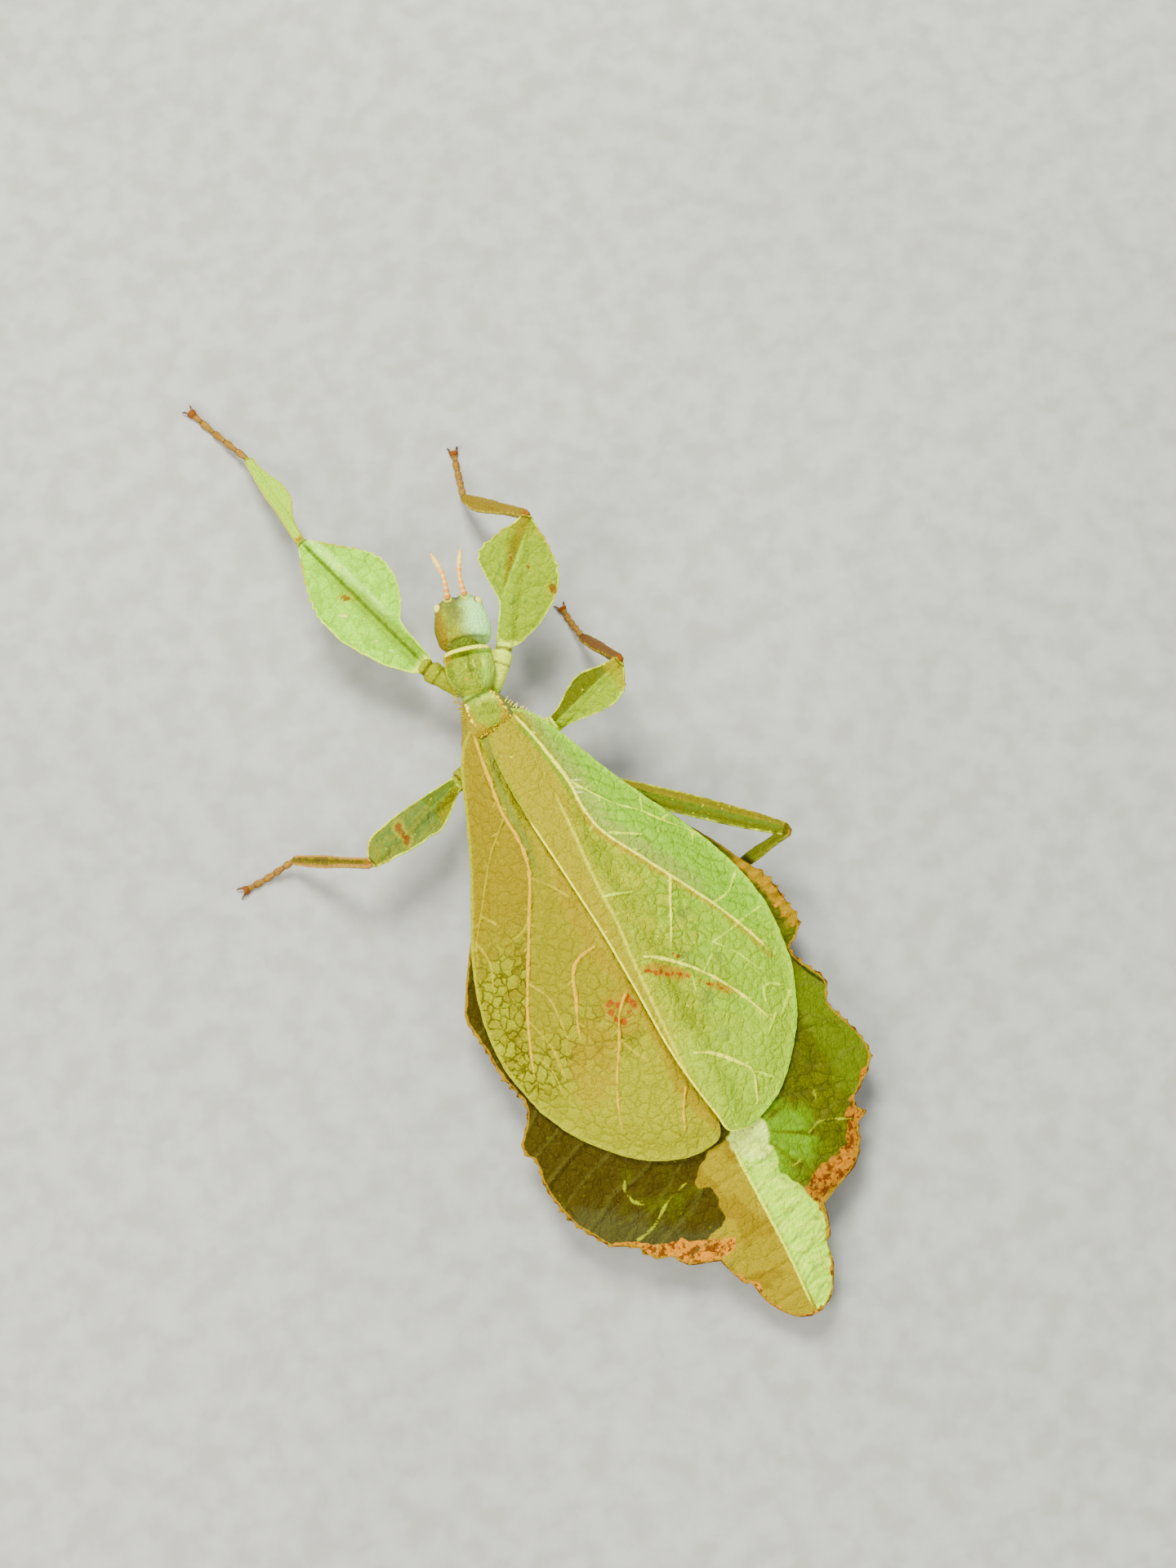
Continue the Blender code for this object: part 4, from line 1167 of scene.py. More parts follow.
    def _spurs(self, line: Array) -> list[Pairs]:
        """Short side veins, which leave a vein to both sides in turn.

        Args:
            line: The vein's points.

        Returns:
            The points of each side vein.
        """
        rng = np.random.default_rng(round(100 * abs(line[0, 0])) + self.side.value + 1)
        spurs, sign = [], 1
        steps = np.diff(line, axis=0)
        for k in range(2, len(steps) - 1):
            if rng.random() < 0.6:
                continue
            sign = -sign
            along = steps[k] / np.linalg.norm(steps[k])
            out = sign * np.array((-along[1], along[0]))
            reach = rng.uniform(0.35, 1.2)
            turn = rng.uniform(-0.3, 0.3)
            middle = line[k] + 0.5 * reach * (0.7 * along + 0.75 * out)
            spurs.append(
                (line[k], middle, middle + 0.5 * reach * ((0.6 + turn) * along + (0.8 - turn) * out))
            )
        return spurs

    def _zones(self, x: Array, s: Array, to_edge: Array, to_inner: Array, here: Array) -> dict[str, Array]:
        """The masks of the wing's colour fields.

        Args:
            x: Each point's x.
            s: Its distance back.
            to_edge: Its distance from the outer margin.
            to_inner: Its distance from the inner margin.
            here: The place that its noise is read at.

        Returns:
            The masks by name.
        """
        main = near_line(x, s, bent_line(self.main, 0.8), 30.0)
        outside = ease(-0.2, 0.2, np.where(main.side < 0, main.distance, -main.distance))
        rim = 1 - ease(0.08, 0.5, to_edge)
        if self.side is Side.LEFT:
            border = Profile((
                (-1, 1.9), (8.8, 1.8), (12, 2.1), (15.3, 2.4), (18.6, 2.9), (23.2, 3.0), (27.7, 2.3),
                (30.2, 1.6), (34.9, 1.6), (39.6, 1.9), (43.4, 1.0), (45.2, 0.1),
            ))(s)
            strip = Profile(((-1, 1.4), (1.7, 1.5), (5.0, 2.4), (7.6, 2.8), (10.4, 2.9), (15.0, 3.5)))(s)
            flecks = [
                patch(x, s, at, size)
                for at, size in (
                    ((3.5, 29.6), (0.5, 0.36)), ((2.9, 30.1), (0.3, 0.42)), ((3.8, 30.4), (0.4, 0.36)),
                    ((1.9, 29.9), (0.4, 0.5)), ((1.6, 30.7), (0.32, 0.6)), ((2.3, 31.2), (0.26, 0.26)),
                    ((3.2, 31.7), (0.4, 0.45)), ((3.7, 31.2), (0.26, 0.32)),
                )
            ]
            return {
                "gold": 1 - ease(-0.6, 0.6, x - border), "rim": rim,
                "outer": outside * (1 - ease(14, 24, s)),
                "deep": bump(x - border + 0.7, 0.7) * ease(13, 18, s),
                "grey": (1 - outside) * ease(7, 13, s) * (1 - ease(26, 33, s)), "low": ease(31, 37, s),
                "strip": bump(x - strip, 0.42) * (1 - ease(12, 18, s)), "fleck": np.clip(sum(flecks), 0, 1),
                "blush": np.maximum(
                    patch(x, s, (2.9, 30.8), (1.9, 2.4)), 0.8 * patch(x, s, (7.4, 33.5), (2.6, 5.0), -30)
                ),
                "cells": ease(15, 22, s) * ease(0.0, 1.0, x - border),
            }
        white = Profile(
            (
                (-1, 2.4), (5, 2.2), (9.9, 1.7), (13.6, 1.4), (19, 0.9), (22.8, 0.8), (27.3, 0.3),
                (40.3, -0.5),
            )
        )(s)
        gold_to = Profile(
            ((-1, 3), (7, 3.2), (10, 2.8), (14, 1.6), (19, 1.0), (27.3, 0.3), (40.3, -0.5))
        )(s)
        flecks = [
            patch(x, s, at, size, 35)
            for at, size in (
                ((1.1, 28.8), (0.4, 0.25)), ((1.6, 29.3), (0.25, 0.35)), ((2.1, 29.4), (0.2, 0.3)),
                ((2.6, 29.8), (0.3, 0.22)), ((3.1, 30.0), (0.16, 0.3)), ((3.7, 30.3), (0.35, 0.2)),
                ((4.3, 30.8), (0.25, 0.2)), ((4.4, 28.7), (0.25, 0.3)), ((4.1, 28.3), (0.15, 0.2)),
                ((5.8, 32.4), (0.4, 0.16)), ((6.6, 33.2), (0.3, 0.12)),
            )
        ]
        smudges = [
            patch(x, s, (5.1, 29.3), (0.7, 1.1)), patch(x, s, (7.1, 25.2), (0.9, 0.8)),
            patch(x, s, (10.0, 24.7), (1.1, 0.5), 50),
            patch(x, s, (5.0, 33.3), (0.8, 1.1)), patch(x, s, (4.7, 37.3), (0.8, 0.7)),
            patch(x, s, (8.0, 30.5), (0.7, 0.7)),
        ]
        share = (x - white) / np.maximum(x + to_edge - white, 0.5)
        slant = np.sin(4.2 * (s - 0.8 * x) + 2.5 * GRAIN(here, 2.0))
        return {
            "gold": 1 - ease(-1.4, 1.6, x - gold_to),
            "strip": (1 - ease(0.0, 0.7, to_inner)) * (1 - ease(9, 11, s)),
            "pale": bump(x - white, 0.17) * ease(8, 11, s) * (1 - ease(38, 41, s)),
            # far greens the outer half of the right wing: partly its own lime, partly painted cool light.
            "far": ease(0.3, 0.75, share) * ease(16, 22, s), "low": ease(33, 39, s), "rim": rim,
            "costal": outside * (1 - ease(26, 31, s)),
            "costal_grey": outside * (1 - ease(0.7, 2.8, main.distance)) * (1 - ease(20, 27, s)),
            "streaks": (
                outside * ease(0.55, 0.95, slant) * ease(0.4, 1.2, main.distance) * ease(0.3, 0.9, to_edge)
            ),
            "dash": sum(patch(x, s, at, (0.75, 0.1), 25) for at in ((4.2, 8.6), (4.1, 9.4), (3.9, 9.9))),
            "fleck": np.clip(sum(flecks), 0, 1), "smudge": np.clip(sum(smudges), 0, 1),
            "blush": np.maximum(
                patch(x, s, (2.7, 29.6), (2.6, 0.75), 35), 0.7 * patch(x, s, (6.6, 33.1), (2.4, 0.5), 45)
            ),
            "lip": (1 - ease(0.1, 0.26, to_inner)) * ease(9.5, 12, s),
            "cells": np.maximum(outside * ease(10, 16, s), ease(0.25, 0.6, share) * ease(17, 23, s)),
        }


# Abdomen


@dataclass
class Abdomen:
    """The broad leafy abdomen with its toothed side lobes, and the narrow end, in one skin."""

    shoulder: Pairs = ((4.6, 9.7), (6.6, 11.2), (9.6, 14.4), (12.7, 18.0))
    right: Pairs = (
        (15.4, 23.0), (16.5, 25.2), (16.9, 27.8), (17.1, 30.6), (15.9, 31.8), (14.9, 32.7), (15.5, 34.5),
        (16.4, 36.2), (16.4, 37.4), (15.6, 38.8), (16.0, 40.6), (16.8, 43.2), (16.7, 45.2), (15.4, 46.7),
        (13.8, 47.7), (12.9, 48.7), (13.4, 49.9), (12.3, 50.5), (11.5, 52.2), (9.9, 53.8), (6.4, 55.2),
    )
    left: Pairs = (
        (15.4, 22.2), (16.1, 23.8), (15.8, 26.4), (15.6, 30.0), (14.9, 33.0), (15.4, 34.8), (17.0, 36.7),
        (17.2, 37.7), (16.6, 38.9), (17.0, 41.0), (16.7, 43.8), (16.1, 46.0), (15.0, 47.9), (14.2, 49.2),
        (12.7, 50.1), (12.0, 50.6), (11.1, 52.2), (9.5, 53.0), (8.6, 54.3), (6.4, 55.2),
    )
    tip: Pairs = (
        (5.7, 55.5), (5.2, 57.2), (4.7, 58.4), (4.15, 58.7), (3.8, 60.4), (3.0, 62.1), (1.9, 63.4),
        (0.5, 64.1),
    )
    segments: tuple[float, ...] = (16.0, 23.4, 30.6, 37.6, 43.8, 49.2, 54.6, 58.6, 61.4)
    tooth_pitch: float = 1.05
    tooth_depth: float = 0.32
    keel_height: float = 0.3
    rings: int = 400
    across: int = 184

    def build(self) -> None:
        """Makes the abdomen's skin and its cerci."""
        share = np.linspace(0, 1, self.rings)
        s = 9.72 + 54.36 * (0.85 * share + 0.15 * (0.5 - 0.5 * np.cos(np.pi * share)))
        left, right = self._edge(self.left, s, -1), self._edge(self.right, s, 1)
        x = bow(-left, right, self.across)
        s = np.broadcast_to(s[:, None], x.shape)
        to_edge = self._edge_distance(x, s)
        here = np.stack([x, s, np.zeros_like(x)], -1)
        relief, line = self._segment_relief(x, s)
        masks, lines = self._zones(x, s, to_edge, line, here)
        thin = ease(0, 2.4, to_edge)
        wave = GRAIN(here, 3.6) * 0.16 + GRAIN(here, 1.2) * 0.07
        wrinkle = (
            0.05 * np.sin(11 * s + 1.5 * x + 4 * GRAIN(here, 1.6))
            * np.maximum(masks["blue"], masks["white"])
        )
        crust = (
            np.maximum(masks["crust"], masks["crust_pale"])
            * (0.13 * GRAIN(here, 0.42) + 0.08 * GRAIN(here, 0.9))
        )
        rise = relief + wave * (0.3 + 0.7 * thin) + wrinkle + crust + 0.1 * lines
        rise += self.keel_height * masks["keel"] + self._curl(x, s, to_edge)
        top = BACK.height(x, s) + rise - 0.1 * (1 - thin)
        low = BACK.under(x, s)
        full = ease(0.05, 0.5, BACK.height(x, s) - BACK.lobe - low)
        bottom = full * (low + 0.5 * relief) + (1 - full) * (top - 0.22 - 0.5 * thin)
        bottom = np.minimum(np.maximum(bottom, 0.0), top - 0.18)
        masks = {name: both_faces(mask, 0.75) for name, mask in masks.items()}
        masks["belly"] = round_plate(np.zeros_like(x), np.ones_like(x))
        shell = Shell(closed_rings(x, -s, top, bottom), ABDOMEN, masks)
        add_piece("abdomen_skin", [shell], ["abdomen", "abdomen_tip"])
        self._cerci()

    def _edge(self, points: Pairs, s: Array, sign: int) -> Array:
        """Half width of one side at each ring, with its teeth.

        Args:
            points: The side's outline.
            s: Each ring's distance back.
            sign: 1 on the right, -1 on the left.

        Returns:
            The half width of each ring.
        """
        lobes = bent_line((*self.shoulder, *points), 0.2)
        end = bent_line(self.tip, 0.2)
        line = np.vstack([lobes, end])
        width = np.interp(s, line[:, 1], line[:, 0])
        phase = (s / self.tooth_pitch + 0.3 * sign) % 1
        here = np.stack([width * sign, s, np.zeros_like(s)], -1)
        size = 0.7 + 0.5 * GRAIN(here, 1.7)
        tooth = np.maximum(0, 1 - np.abs(phase - 0.62) / 0.38) ** 1.4
        teeth = self.tooth_depth * size * tooth * ease(22, 25, s) * (1 - ease(54, 55, s))
        return width + teeth + 0.05 * GRAIN(here, 0.6)

    def _edge_distance(self, x: Array, s: Array) -> Array:
        """How far each point is from the plan's outline.

        Args:
            x: Each point's x.
            s: Its distance back.

        Returns:
            The distance of each point, 6 mm at most.
        """
        far = np.full(x.shape, 6.0)
        for points, sign in ((self.left, -1), (self.right, 1)):
            line = np.vstack([bent_line((*self.shoulder, *points), 0.8), bent_line(self.tip, 0.8)])
            near = near_line(x, s, line * (sign, 1), 6.0)
            far = np.minimum(far, near.distance)
        return far

    def _segment_relief(self, x: Array, s: Array) -> tuple[Array, Array]:
        """The furrows between the segments, and where they are.

        Args:
            x: Each point's x.
            s: Its distance back.

        Returns:
            The relief in millimetres, and the furrows' mask.
        """
        line = np.zeros_like(x)
        for at in self.segments:
            bent = s - at - 0.012 * x * x * (at < 50) - 0.05 * np.abs(x)
            line = np.maximum(line, bump(bent, 0.22))
        return -0.16 * line, line

    def _curl(self, x: Array, s: Array, to_edge: Array) -> Array:
        """The scalloped lip that curls up beyond the right wing."""
        where = ease(21.5, 24, s) * (1 - ease(29.5, 31.5, s)) * (x > 0)
        return where * (1 - ease(0.1, 1.6, to_edge)) * (0.3 + 0.16 * np.sin(5.2 * s))

    def _zones(
        self, x: Array, s: Array, to_edge: Array, line: Array, here: Array
    ) -> tuple[dict[str, Array], Array]:
        """The masks of the abdomen's colours, and where its raised lines are.

        Args:
            x: Each point's x.
            s: Its distance back.
            to_edge: Its distance from the outline.
            line: The furrows' mask.
            here: The place that its noise is read at.

        Returns:
            The masks by name, and the raised lines.
        """
        tail = ease(45.5, 46.5, s)
        jag = 0.7 * GRAIN(here, 1.7) + 0.35 * GRAIN(here, 0.6)
        border = Profile((
            (45, 1.6), (46.6, 3.2), (48.3, 4.0), (49.2, 3.2), (51.1, 2.9), (52.6, 4.4), (53.6, 6.2),
            (55.7, 6.4), (64.2, 6),
        ))(s)
        gold = tail * (x < 0.3) * (1 - ease(-0.25, 0.25, jag - x - border))
        right_end = Profile(
            ((46, 0.4), (46.6, 2.9), (48.8, 3.4), (51.6, 3.6), (53.8, 5.0), (55, 6), (64.2, 6))
        )(s)
        blue = ease(47.6, 48.6, s + 0.5 * x) * (x > 0.2) * (1 - ease(-0.5, 0.4, x + jag - right_end))
        fringe = ease(21.5, 23, s) * (1 - ease(29.5, 31.5, s)) * (x > 0) * (1 - ease(0.4, 1.7, to_edge))
        tail_fringe = ease(54, 55, s) * (1 - ease(58.4, 59, s)) * (x > 0) * (1 - ease(0.15, 0.7, to_edge))
        deep = Profile(
            (
                (45.5, 0.0), (47, 0.35), (49.6, 0.9), (51.8, 2.0), (53.2, 2.4), (54.6, 1.6), (55.6, 0.6),
                (57, 0),
            )
        )(s)
        crust_right = (x > 0) * (1 - ease(-0.2, 0.25, to_edge - deep + 0.8 * jag)) * ease(45.6, 46.5, s)
        deep = Profile(
            ((48.5, 0.0), (49.5, 0.5), (51, 1.3), (52.5, 1.7), (54.4, 1.9), (55.4, 0.8), (56.2, 0))
        )(s)
        crust_left = (x < 0) * (1 - ease(-0.2, 0.25, to_edge - deep + 0.8 * jag)) * ease(48.6, 49.6, s)
        lines = np.zeros_like(x)
        for points in (
            ((8.7, 43.8), (10.0, 45.0), (10.0, 46.0), (9.6, 47.0)),
            ((7.6, 49.0), (9.4, 48.6), (12.1, 49.9)),
            ((-9.5, 43.8), (-10.5, 45.2), (-10.3, 46.6), (-9.6, 47.4)),
            ((-5.2, 47.6), (-7.4, 48.2), (-9.7, 49.6), (-11.6, 50.0)),
            ((3.4, 50.2), (4.6, 51.0), (5.6, 50.9)), ((1.6, 54.0), (3.2, 54.8), (4.8, 54.6)),
            ((0.9, 58.2), (2.2, 58.9)),
        ):
            near = near_line(x, s, bent_line(points, 0.5), 1.5)
            lines = np.maximum(lines, bump(near.distance + 0.1 * GRAIN(here, 0.9), 0.09))
        fold = near_line(x, s, bent_line(((14.7, 32.7), (15.3, 35.0), (16.4, 37.3)), 0.5), 1.5).distance
        ridge = Profile(((46, 0.35), (50, 0.35), (53.5, 0.3), (57.2, 0.25), (62.9, -0.1)))(s)
        rays = (
            ease(0.86, 0.99, np.sin(1.9 * (s - 0.45 * np.abs(x)) + 3 * GRAIN(here, 4.0)))
            * (1 - tail * (np.abs(x) < 4))
        )
        scallop = 0.5 + 0.5 * np.sin(5.2 * s)
        radial = 0.7 + 0.6 * GRAIN(np.stack([np.arctan2(s - 46.5, x - 3.0) * 4, 0 * x, 0 * x], -1), 0.5)
        masks = {
            # Painted shade over the abdomen's left half, fading out past the middle.
            "left_dark": 1 - ease(-2, 1, x),
            "bright": np.maximum(
                ease(11, 14.5, x) * ease(33, 36, s) * (1 - ease(47, 49, s)),
                0.2 * patch(x, s, (-8.0, 47.0), (5.0, 4.0), 20),
            ),
            "lime": np.clip(
                1.4 * (1 - ease(0.1, 1.7, np.hypot((x - 5.0) / 3.0, (s - 48.2) / 3.6))) * radial, 0, 1
            ) * (x > 0),
            "white": (
                (1 - ease(-0.3, 0.3, jag + np.hypot((x - 2.1) / 1.9, (s - 46.9) / 2.2) * 2.6 - 2.6))
                * (x > 0.1)
            ),
            "gold": gold, "blue": blue, "deep": gold * ease(0.2, 0.9, GRAIN(here, 1.9) + 0.4 * (x < -2.5)),
            "shadow": (
                blue * bump(np.sin(1.7 * s + 0.5 * x + jag), 0.35) + blue * bump(x - right_end + 0.4, 0.3)
            ),
            "grey_edge": (x < 0) * ease(43, 47, s) * (1 - ease(1.5, 4.5, to_edge)),
            "crust": crust_right,
            "crust_pale": np.maximum(np.maximum(fringe * scallop, crust_left), 0.5 * tail_fringe),
            "crust_dark": (
                np.clip(crust_right + crust_left + fringe * (1 - scallop), 0, 1)
                * (0.5 + 0.4 * GRAIN(here, 0.6))
            ),
            "wrinkle": blue * ease(0.6, 1.0, np.sin(3.1 * s - 0.9 * x + 3.5 * jag)),
            "line": lines * (1 - 0.4 * line),
            # Painted shade in the right lobe's crease, and a darkening along the furrows between segments.
            "fold": np.maximum(bump(fold, 0.18), 0.35 * line * (1 - tail)),
            "rim": np.maximum(np.maximum(1 - ease(0.05, 0.34, to_edge), fringe), tail_fringe), "ray": rays,
            "tooth": (1 - ease(0.0, 0.2, to_edge)) * (0.55 + 0.45 * GRAIN(here, 0.9)) * ease(22, 25, s),
            "keel": bump(x - ridge, 0.17) * ease(46, 48, s) * (1 - ease(62, 64, s)),
        }
        return masks, lines + 0.3 * rays

    def _cerci(self) -> None:
        """The two small leaf-like feelers under the tip."""
        for side, sign in (("l", -1), ("r", 1)):
            path = bent_line(
                [(sign * 0.85, -60.9, 1.4), (sign * 1.05, -62.4, 1.2), (sign * 0.9, -63.7, 1.15)], 0.12
            )
            share = np.linspace(0, 1, len(path))
            radii = 0.16 + 0.24 * np.sin(np.pi * (0.18 + 0.72 * share)) ** 0.8
            radii[-3:] *= (0.8, 0.55, 0.25)
            shell = Shell(tube(path, radii, 12, 0.7), ABDOMEN, {"gold": np.ones((len(path), 1))})
            add_piece(f"tail_feeler_{side}", [shell], [f"cercus_{side}"])


# Head and thorax


@dataclass
class Trunk:
    """A body piece lofted through stations of (y, half width, low, high) along its own axis."""

    stations: Pairs
    place: Place
    blunt: float = 0.85
    rings: int = 90
    around: int = 112

    def grid(self) -> tuple[Array, Array, Array]:
        """The piece's own rings, with each point's share across and its share up.

        Returns:
            The rings, each point's share across from -1 to 1, and its share up from 0 to 1.
        """
        first, last = self.stations[0][0], self.stations[-1][0]
        share = np.linspace(0, 1, self.rings)
        y = first + (last - first) * (0.7 * share + 0.3 * (0.5 - 0.5 * np.cos(np.pi * share)))
        half, low, high = (Profile([(s[0], s[k]) for s in self.stations])(y)[:, None] for k in (1, 2, 3))
        angle = 2 * np.pi * np.arange(self.around) / self.around
        across = np.sign(np.sin(angle)) * np.abs(np.sin(angle)) ** self.blunt
        up = 0.5 + 0.5 * np.sign(np.cos(angle)) * np.abs(np.cos(angle)) ** self.blunt
        rings = np.stack(
            [
                half * across, np.broadcast_to(y[:, None], half.shape[:1] + angle.shape),
                low + up * (high - low),
            ],
            -1,
        )
        return rings, np.broadcast_to(across, rings.shape[:2]), np.broadcast_to(up, rings.shape[:2])


@dataclass
class Head:
    """The blunt head with its eyes, feelers, palps and lip."""

    trunk: Trunk = field(default_factory=lambda: Trunk(
        (
            (-0.5, 1.5, 6.0, 7.4), (0.0, 1.95, 5.7, 7.9), (0.45, 2.45, 5.2, 8.2), (0.95, 2.65, 4.9, 8.7),
            (1.9, 2.75, 4.6, 8.9), (3.1, 2.65, 4.6, 8.7), (4.2, 2.35, 4.9, 8.3), (5.0, 1.9, 5.4, 7.8),
            (5.4, 1.35, 6.1, 7.2),
        ),
        Place(1.5, 8.82, 16.8),
    ))
    eye_at: tuple[float, float, float] = (1.95, 4.35, 7.45)
    eye_radius: float = 0.5
    feeler_from: tuple[float, float, float] = (0.85, 5.3, 7.1)
    feeler_to: Mapping[str, tuple[float, float, float]] = field(
        default_factory=lambda: {"l": (-1.6, 9.8, 8.6), "r": (1.4, 9.7, 8.6)}
    )
    feeler_radius: float = 0.29
    feeler_joints: int = 9
    palp: Pairs = ((0.9, 3.6, 5.6), (1.15, 4.6, 4.5), (1.0, 5.7, 4.2), (0.8, 6.2, 4.6))

    def build(self) -> None:
        """Makes all pieces of the head."""
        self._skull()
        for side, sign in (("l", -1), ("r", 1)):
            self._eye(side, sign)
            self._feeler(side, sign)
            self._palp(side, sign)

    def _skull(self) -> None:
        """The head capsule with its folds, and the lip under its front."""
        rings, across, up = self.trunk.grid()
        x, y, z = np.moveaxis(rings, -1, 0)
        over = ease(0.4, 0.8, up)
        fold = near_line(
            x, y, bent_line(((-1.2, 0.3), (0.0, 0.55), (1.2, 0.6), (2.4, 0.5)), 0.2), 2.0
        ).distance
        nick = bump(x, 0.2) * ease(4.5, 5.0, y) * over
        socket = sum(bump(np.hypot(x - sign * 0.85, y - 5.1) - 0.36, 0.12) for sign in (-1, 1)) * over
        seam = bump(x + 0.1, 0.12) * ease(0.9, 1.6, y) * (1 - ease(3.6, 4.4, y)) * over
        fork = sum(bump(x - sign * 0.55 * (y - 3.6), 0.1) for sign in (-1, 1))
        fork = fork * ease(3.6, 3.9, y) * (1 - ease(4.6, 5, y)) * over
        sunk = sum(bump(np.hypot(x - sign * 1.0, y - 2.9), 0.5) for sign in (-1, 1)) * over
        brow = (
            bump(np.hypot(np.abs(x) - self.eye_at[0], y - self.eye_at[1]) - 0.5, 0.12) * ease(0.3, 0.6, up)
        )
        rise = (
            -0.1 * bump(fold, 0.24) * over - 0.16 * nick + 0.1 * socket - 0.05 * (seam + fork) - 0.08 * sunk
            + 0.1 * brow
        )
        rise = rise + 0.045 * GRAIN(rings, 0.45) + 0.07 * GRAIN(rings, 1.3)
        out = rings - np.array((0, 2.4, 6.8))
        out /= np.linalg.norm(out, axis=-1)[..., None]
        rings = rings + rise[..., None] * out
        masks = {
            # Painted cool light over the head's right side.
            "pale": (
                ease(-1.2, 2.4, x) * ease(0.3, 0.6, up) * (0.55 + 0.45 * ease(0.1, 0.9, y))
                * (1 - 0.4 * ease(4.2, 5.0, y))
            ),
            # Painted warm light along the head's left flank.
            "flank": (1 - ease(-2.3, -1.1, x)) * ease(0.25, 0.5, up) * (1 - ease(3.5, 4.5, y)),
            "outer": (1 - ease(-2.75, -2.35, x)) * ease(0.25, 0.5, up),
            # Painted shade in the notch between the feelers and across the front of the head.
            "nick": np.maximum(nick, 0.5 * bump(y - 5.1, 0.3) * over),
            "dull": np.maximum(
                over * bump(x + 0.6, 0.9) * ease(1, 3, y), patch(x, y, (0.1, 0.35), (2.2, 0.5)) * over
            ),
            "under": 1 - ease(0.2, 0.45, up),
            # Painted shade along the fold at the back of the head and along the middle seam.
            "fold": np.maximum(0.7 * bump(fold, 0.16) * over, 0.35 * seam),
            "rim": np.maximum(0.4 * bump(y - 5.3, 0.1) * over * (np.abs(x) > 0.25), 0.9 * socket),
        }
        lip = pellet((0, 5.0, 5.3), (0.85, 0.75, 0.9), 28, 20)
        crease = 0.06 * bump(lip[..., 2] - 5.1, 0.08) + 0.05 * bump(lip[..., 0], 0.06)
        lip = lip + (lip - np.array((0, 4.6, 5.3))) * -crease[..., None]
        shells = [
            Shell(self.trunk.place.set(rings), HEAD, masks),
            # The lip's nick mask is painted shade in its creases.
            Shell(self.trunk.place.set(lip), HEAD, {"under": np.ones((len(lip), 1)), "nick": 8 * crease}),
        ]
        add_piece("head_skin", shells, ["head", "labrum"])

    def _eye(self, side: str, sign: int) -> None:
        """A bead-like eye that sits in its ring.

        Args:
            side: The letter in its name.
            sign: 1 on the right, -1 on the left.
        """
        middle = np.array((sign * self.eye_at[0], self.eye_at[1], self.eye_at[2]))
        ball = pellet((0, 0, 0), (self.eye_radius * 1.02, self.eye_radius * 1.08, self.eye_radius), 32, 24)
        out = np.array((sign * 0.62, 0.1, 0.78))
        away = (ball / self.eye_radius) @ (out / np.linalg.norm(out))
        masks = {"ring": 1 - ease(0.5, 0.78, away)}
        shell = Shell(self.trunk.place.set(ball + middle), EYE, masks)
        add_piece(f"eye_bead_{side}", [shell], [f"eye_{side}"])

    def _feeler(self, side: str, sign: int) -> None:
        """A short antenna of nine joints.

        Args:
            side: The letter in its name.
            sign: 1 on the right, -1 on the left.
        """
        start = np.array((sign * self.feeler_from[0], *self.feeler_from[1:]))
        end = np.array(self.feeler_to[side])
        bend = 0.5 * (start + end) + (-0.35 * sign, 0, 0.2)
        path = bent_line([start - (0, 0.6, 0), start, bend, end], 0.06)
        share = np.linspace(0, 1, len(path))
        phase = (share * self.feeler_joints) % 1
        knob = 0.84 + 0.24 * np.sin(np.pi * np.clip(phase * 1.05, 0, 1)) ** 0.7
        taper = Profile(
            (
                (0, 1.3), (0.12, 1.15), (0.28, 0.86), (0.55, 0.76), (0.74, 0.9), (0.88, 0.85), (0.94, 0.6),
                (1, 0.3),
            )
        )(share)
        joint = np.maximum(
            bump(np.minimum(phase, 1 - phase), 0.2), ease(0.66, 0.74, share) * (1 - ease(0.9, 0.96, share))
        )
        masks = {"root": (1 - ease(0.1, 0.45, share))[:, None], "joint": joint[:, None]}
        shell = Shell(
            self.trunk.place.set(tube(path, self.feeler_radius * knob * taper, 12)), FEELER, masks
        )
        add_piece(f"feeler_{side}", [shell], [f"antenna_{side}"])

    def _palp(self, side: str, sign: int) -> None:
        """A jointed palp beside the lip.

        Args:
            side: The letter in its name.
            sign: 1 on the right, -1 on the left.
        """
        path = bent_line([(sign * x, y, z) for x, y, z in self.palp], 0.08)
        phase = (np.linspace(0, 1, len(path)) * 4) % 1
        radii = 0.33 * (0.7 + 0.3 * np.sin(np.pi * phase) ** 0.6) * np.linspace(1, 0.75, len(path))
        masks = {"joint": bump(np.minimum(phase, 1 - phase), 0.14)[:, None]}
        shell = Shell(self.trunk.place.set(tube(path, radii, 12)), PALP, masks)
        add_piece(f"mouth_feeler_{side}", [shell], [f"palp_{side}"])


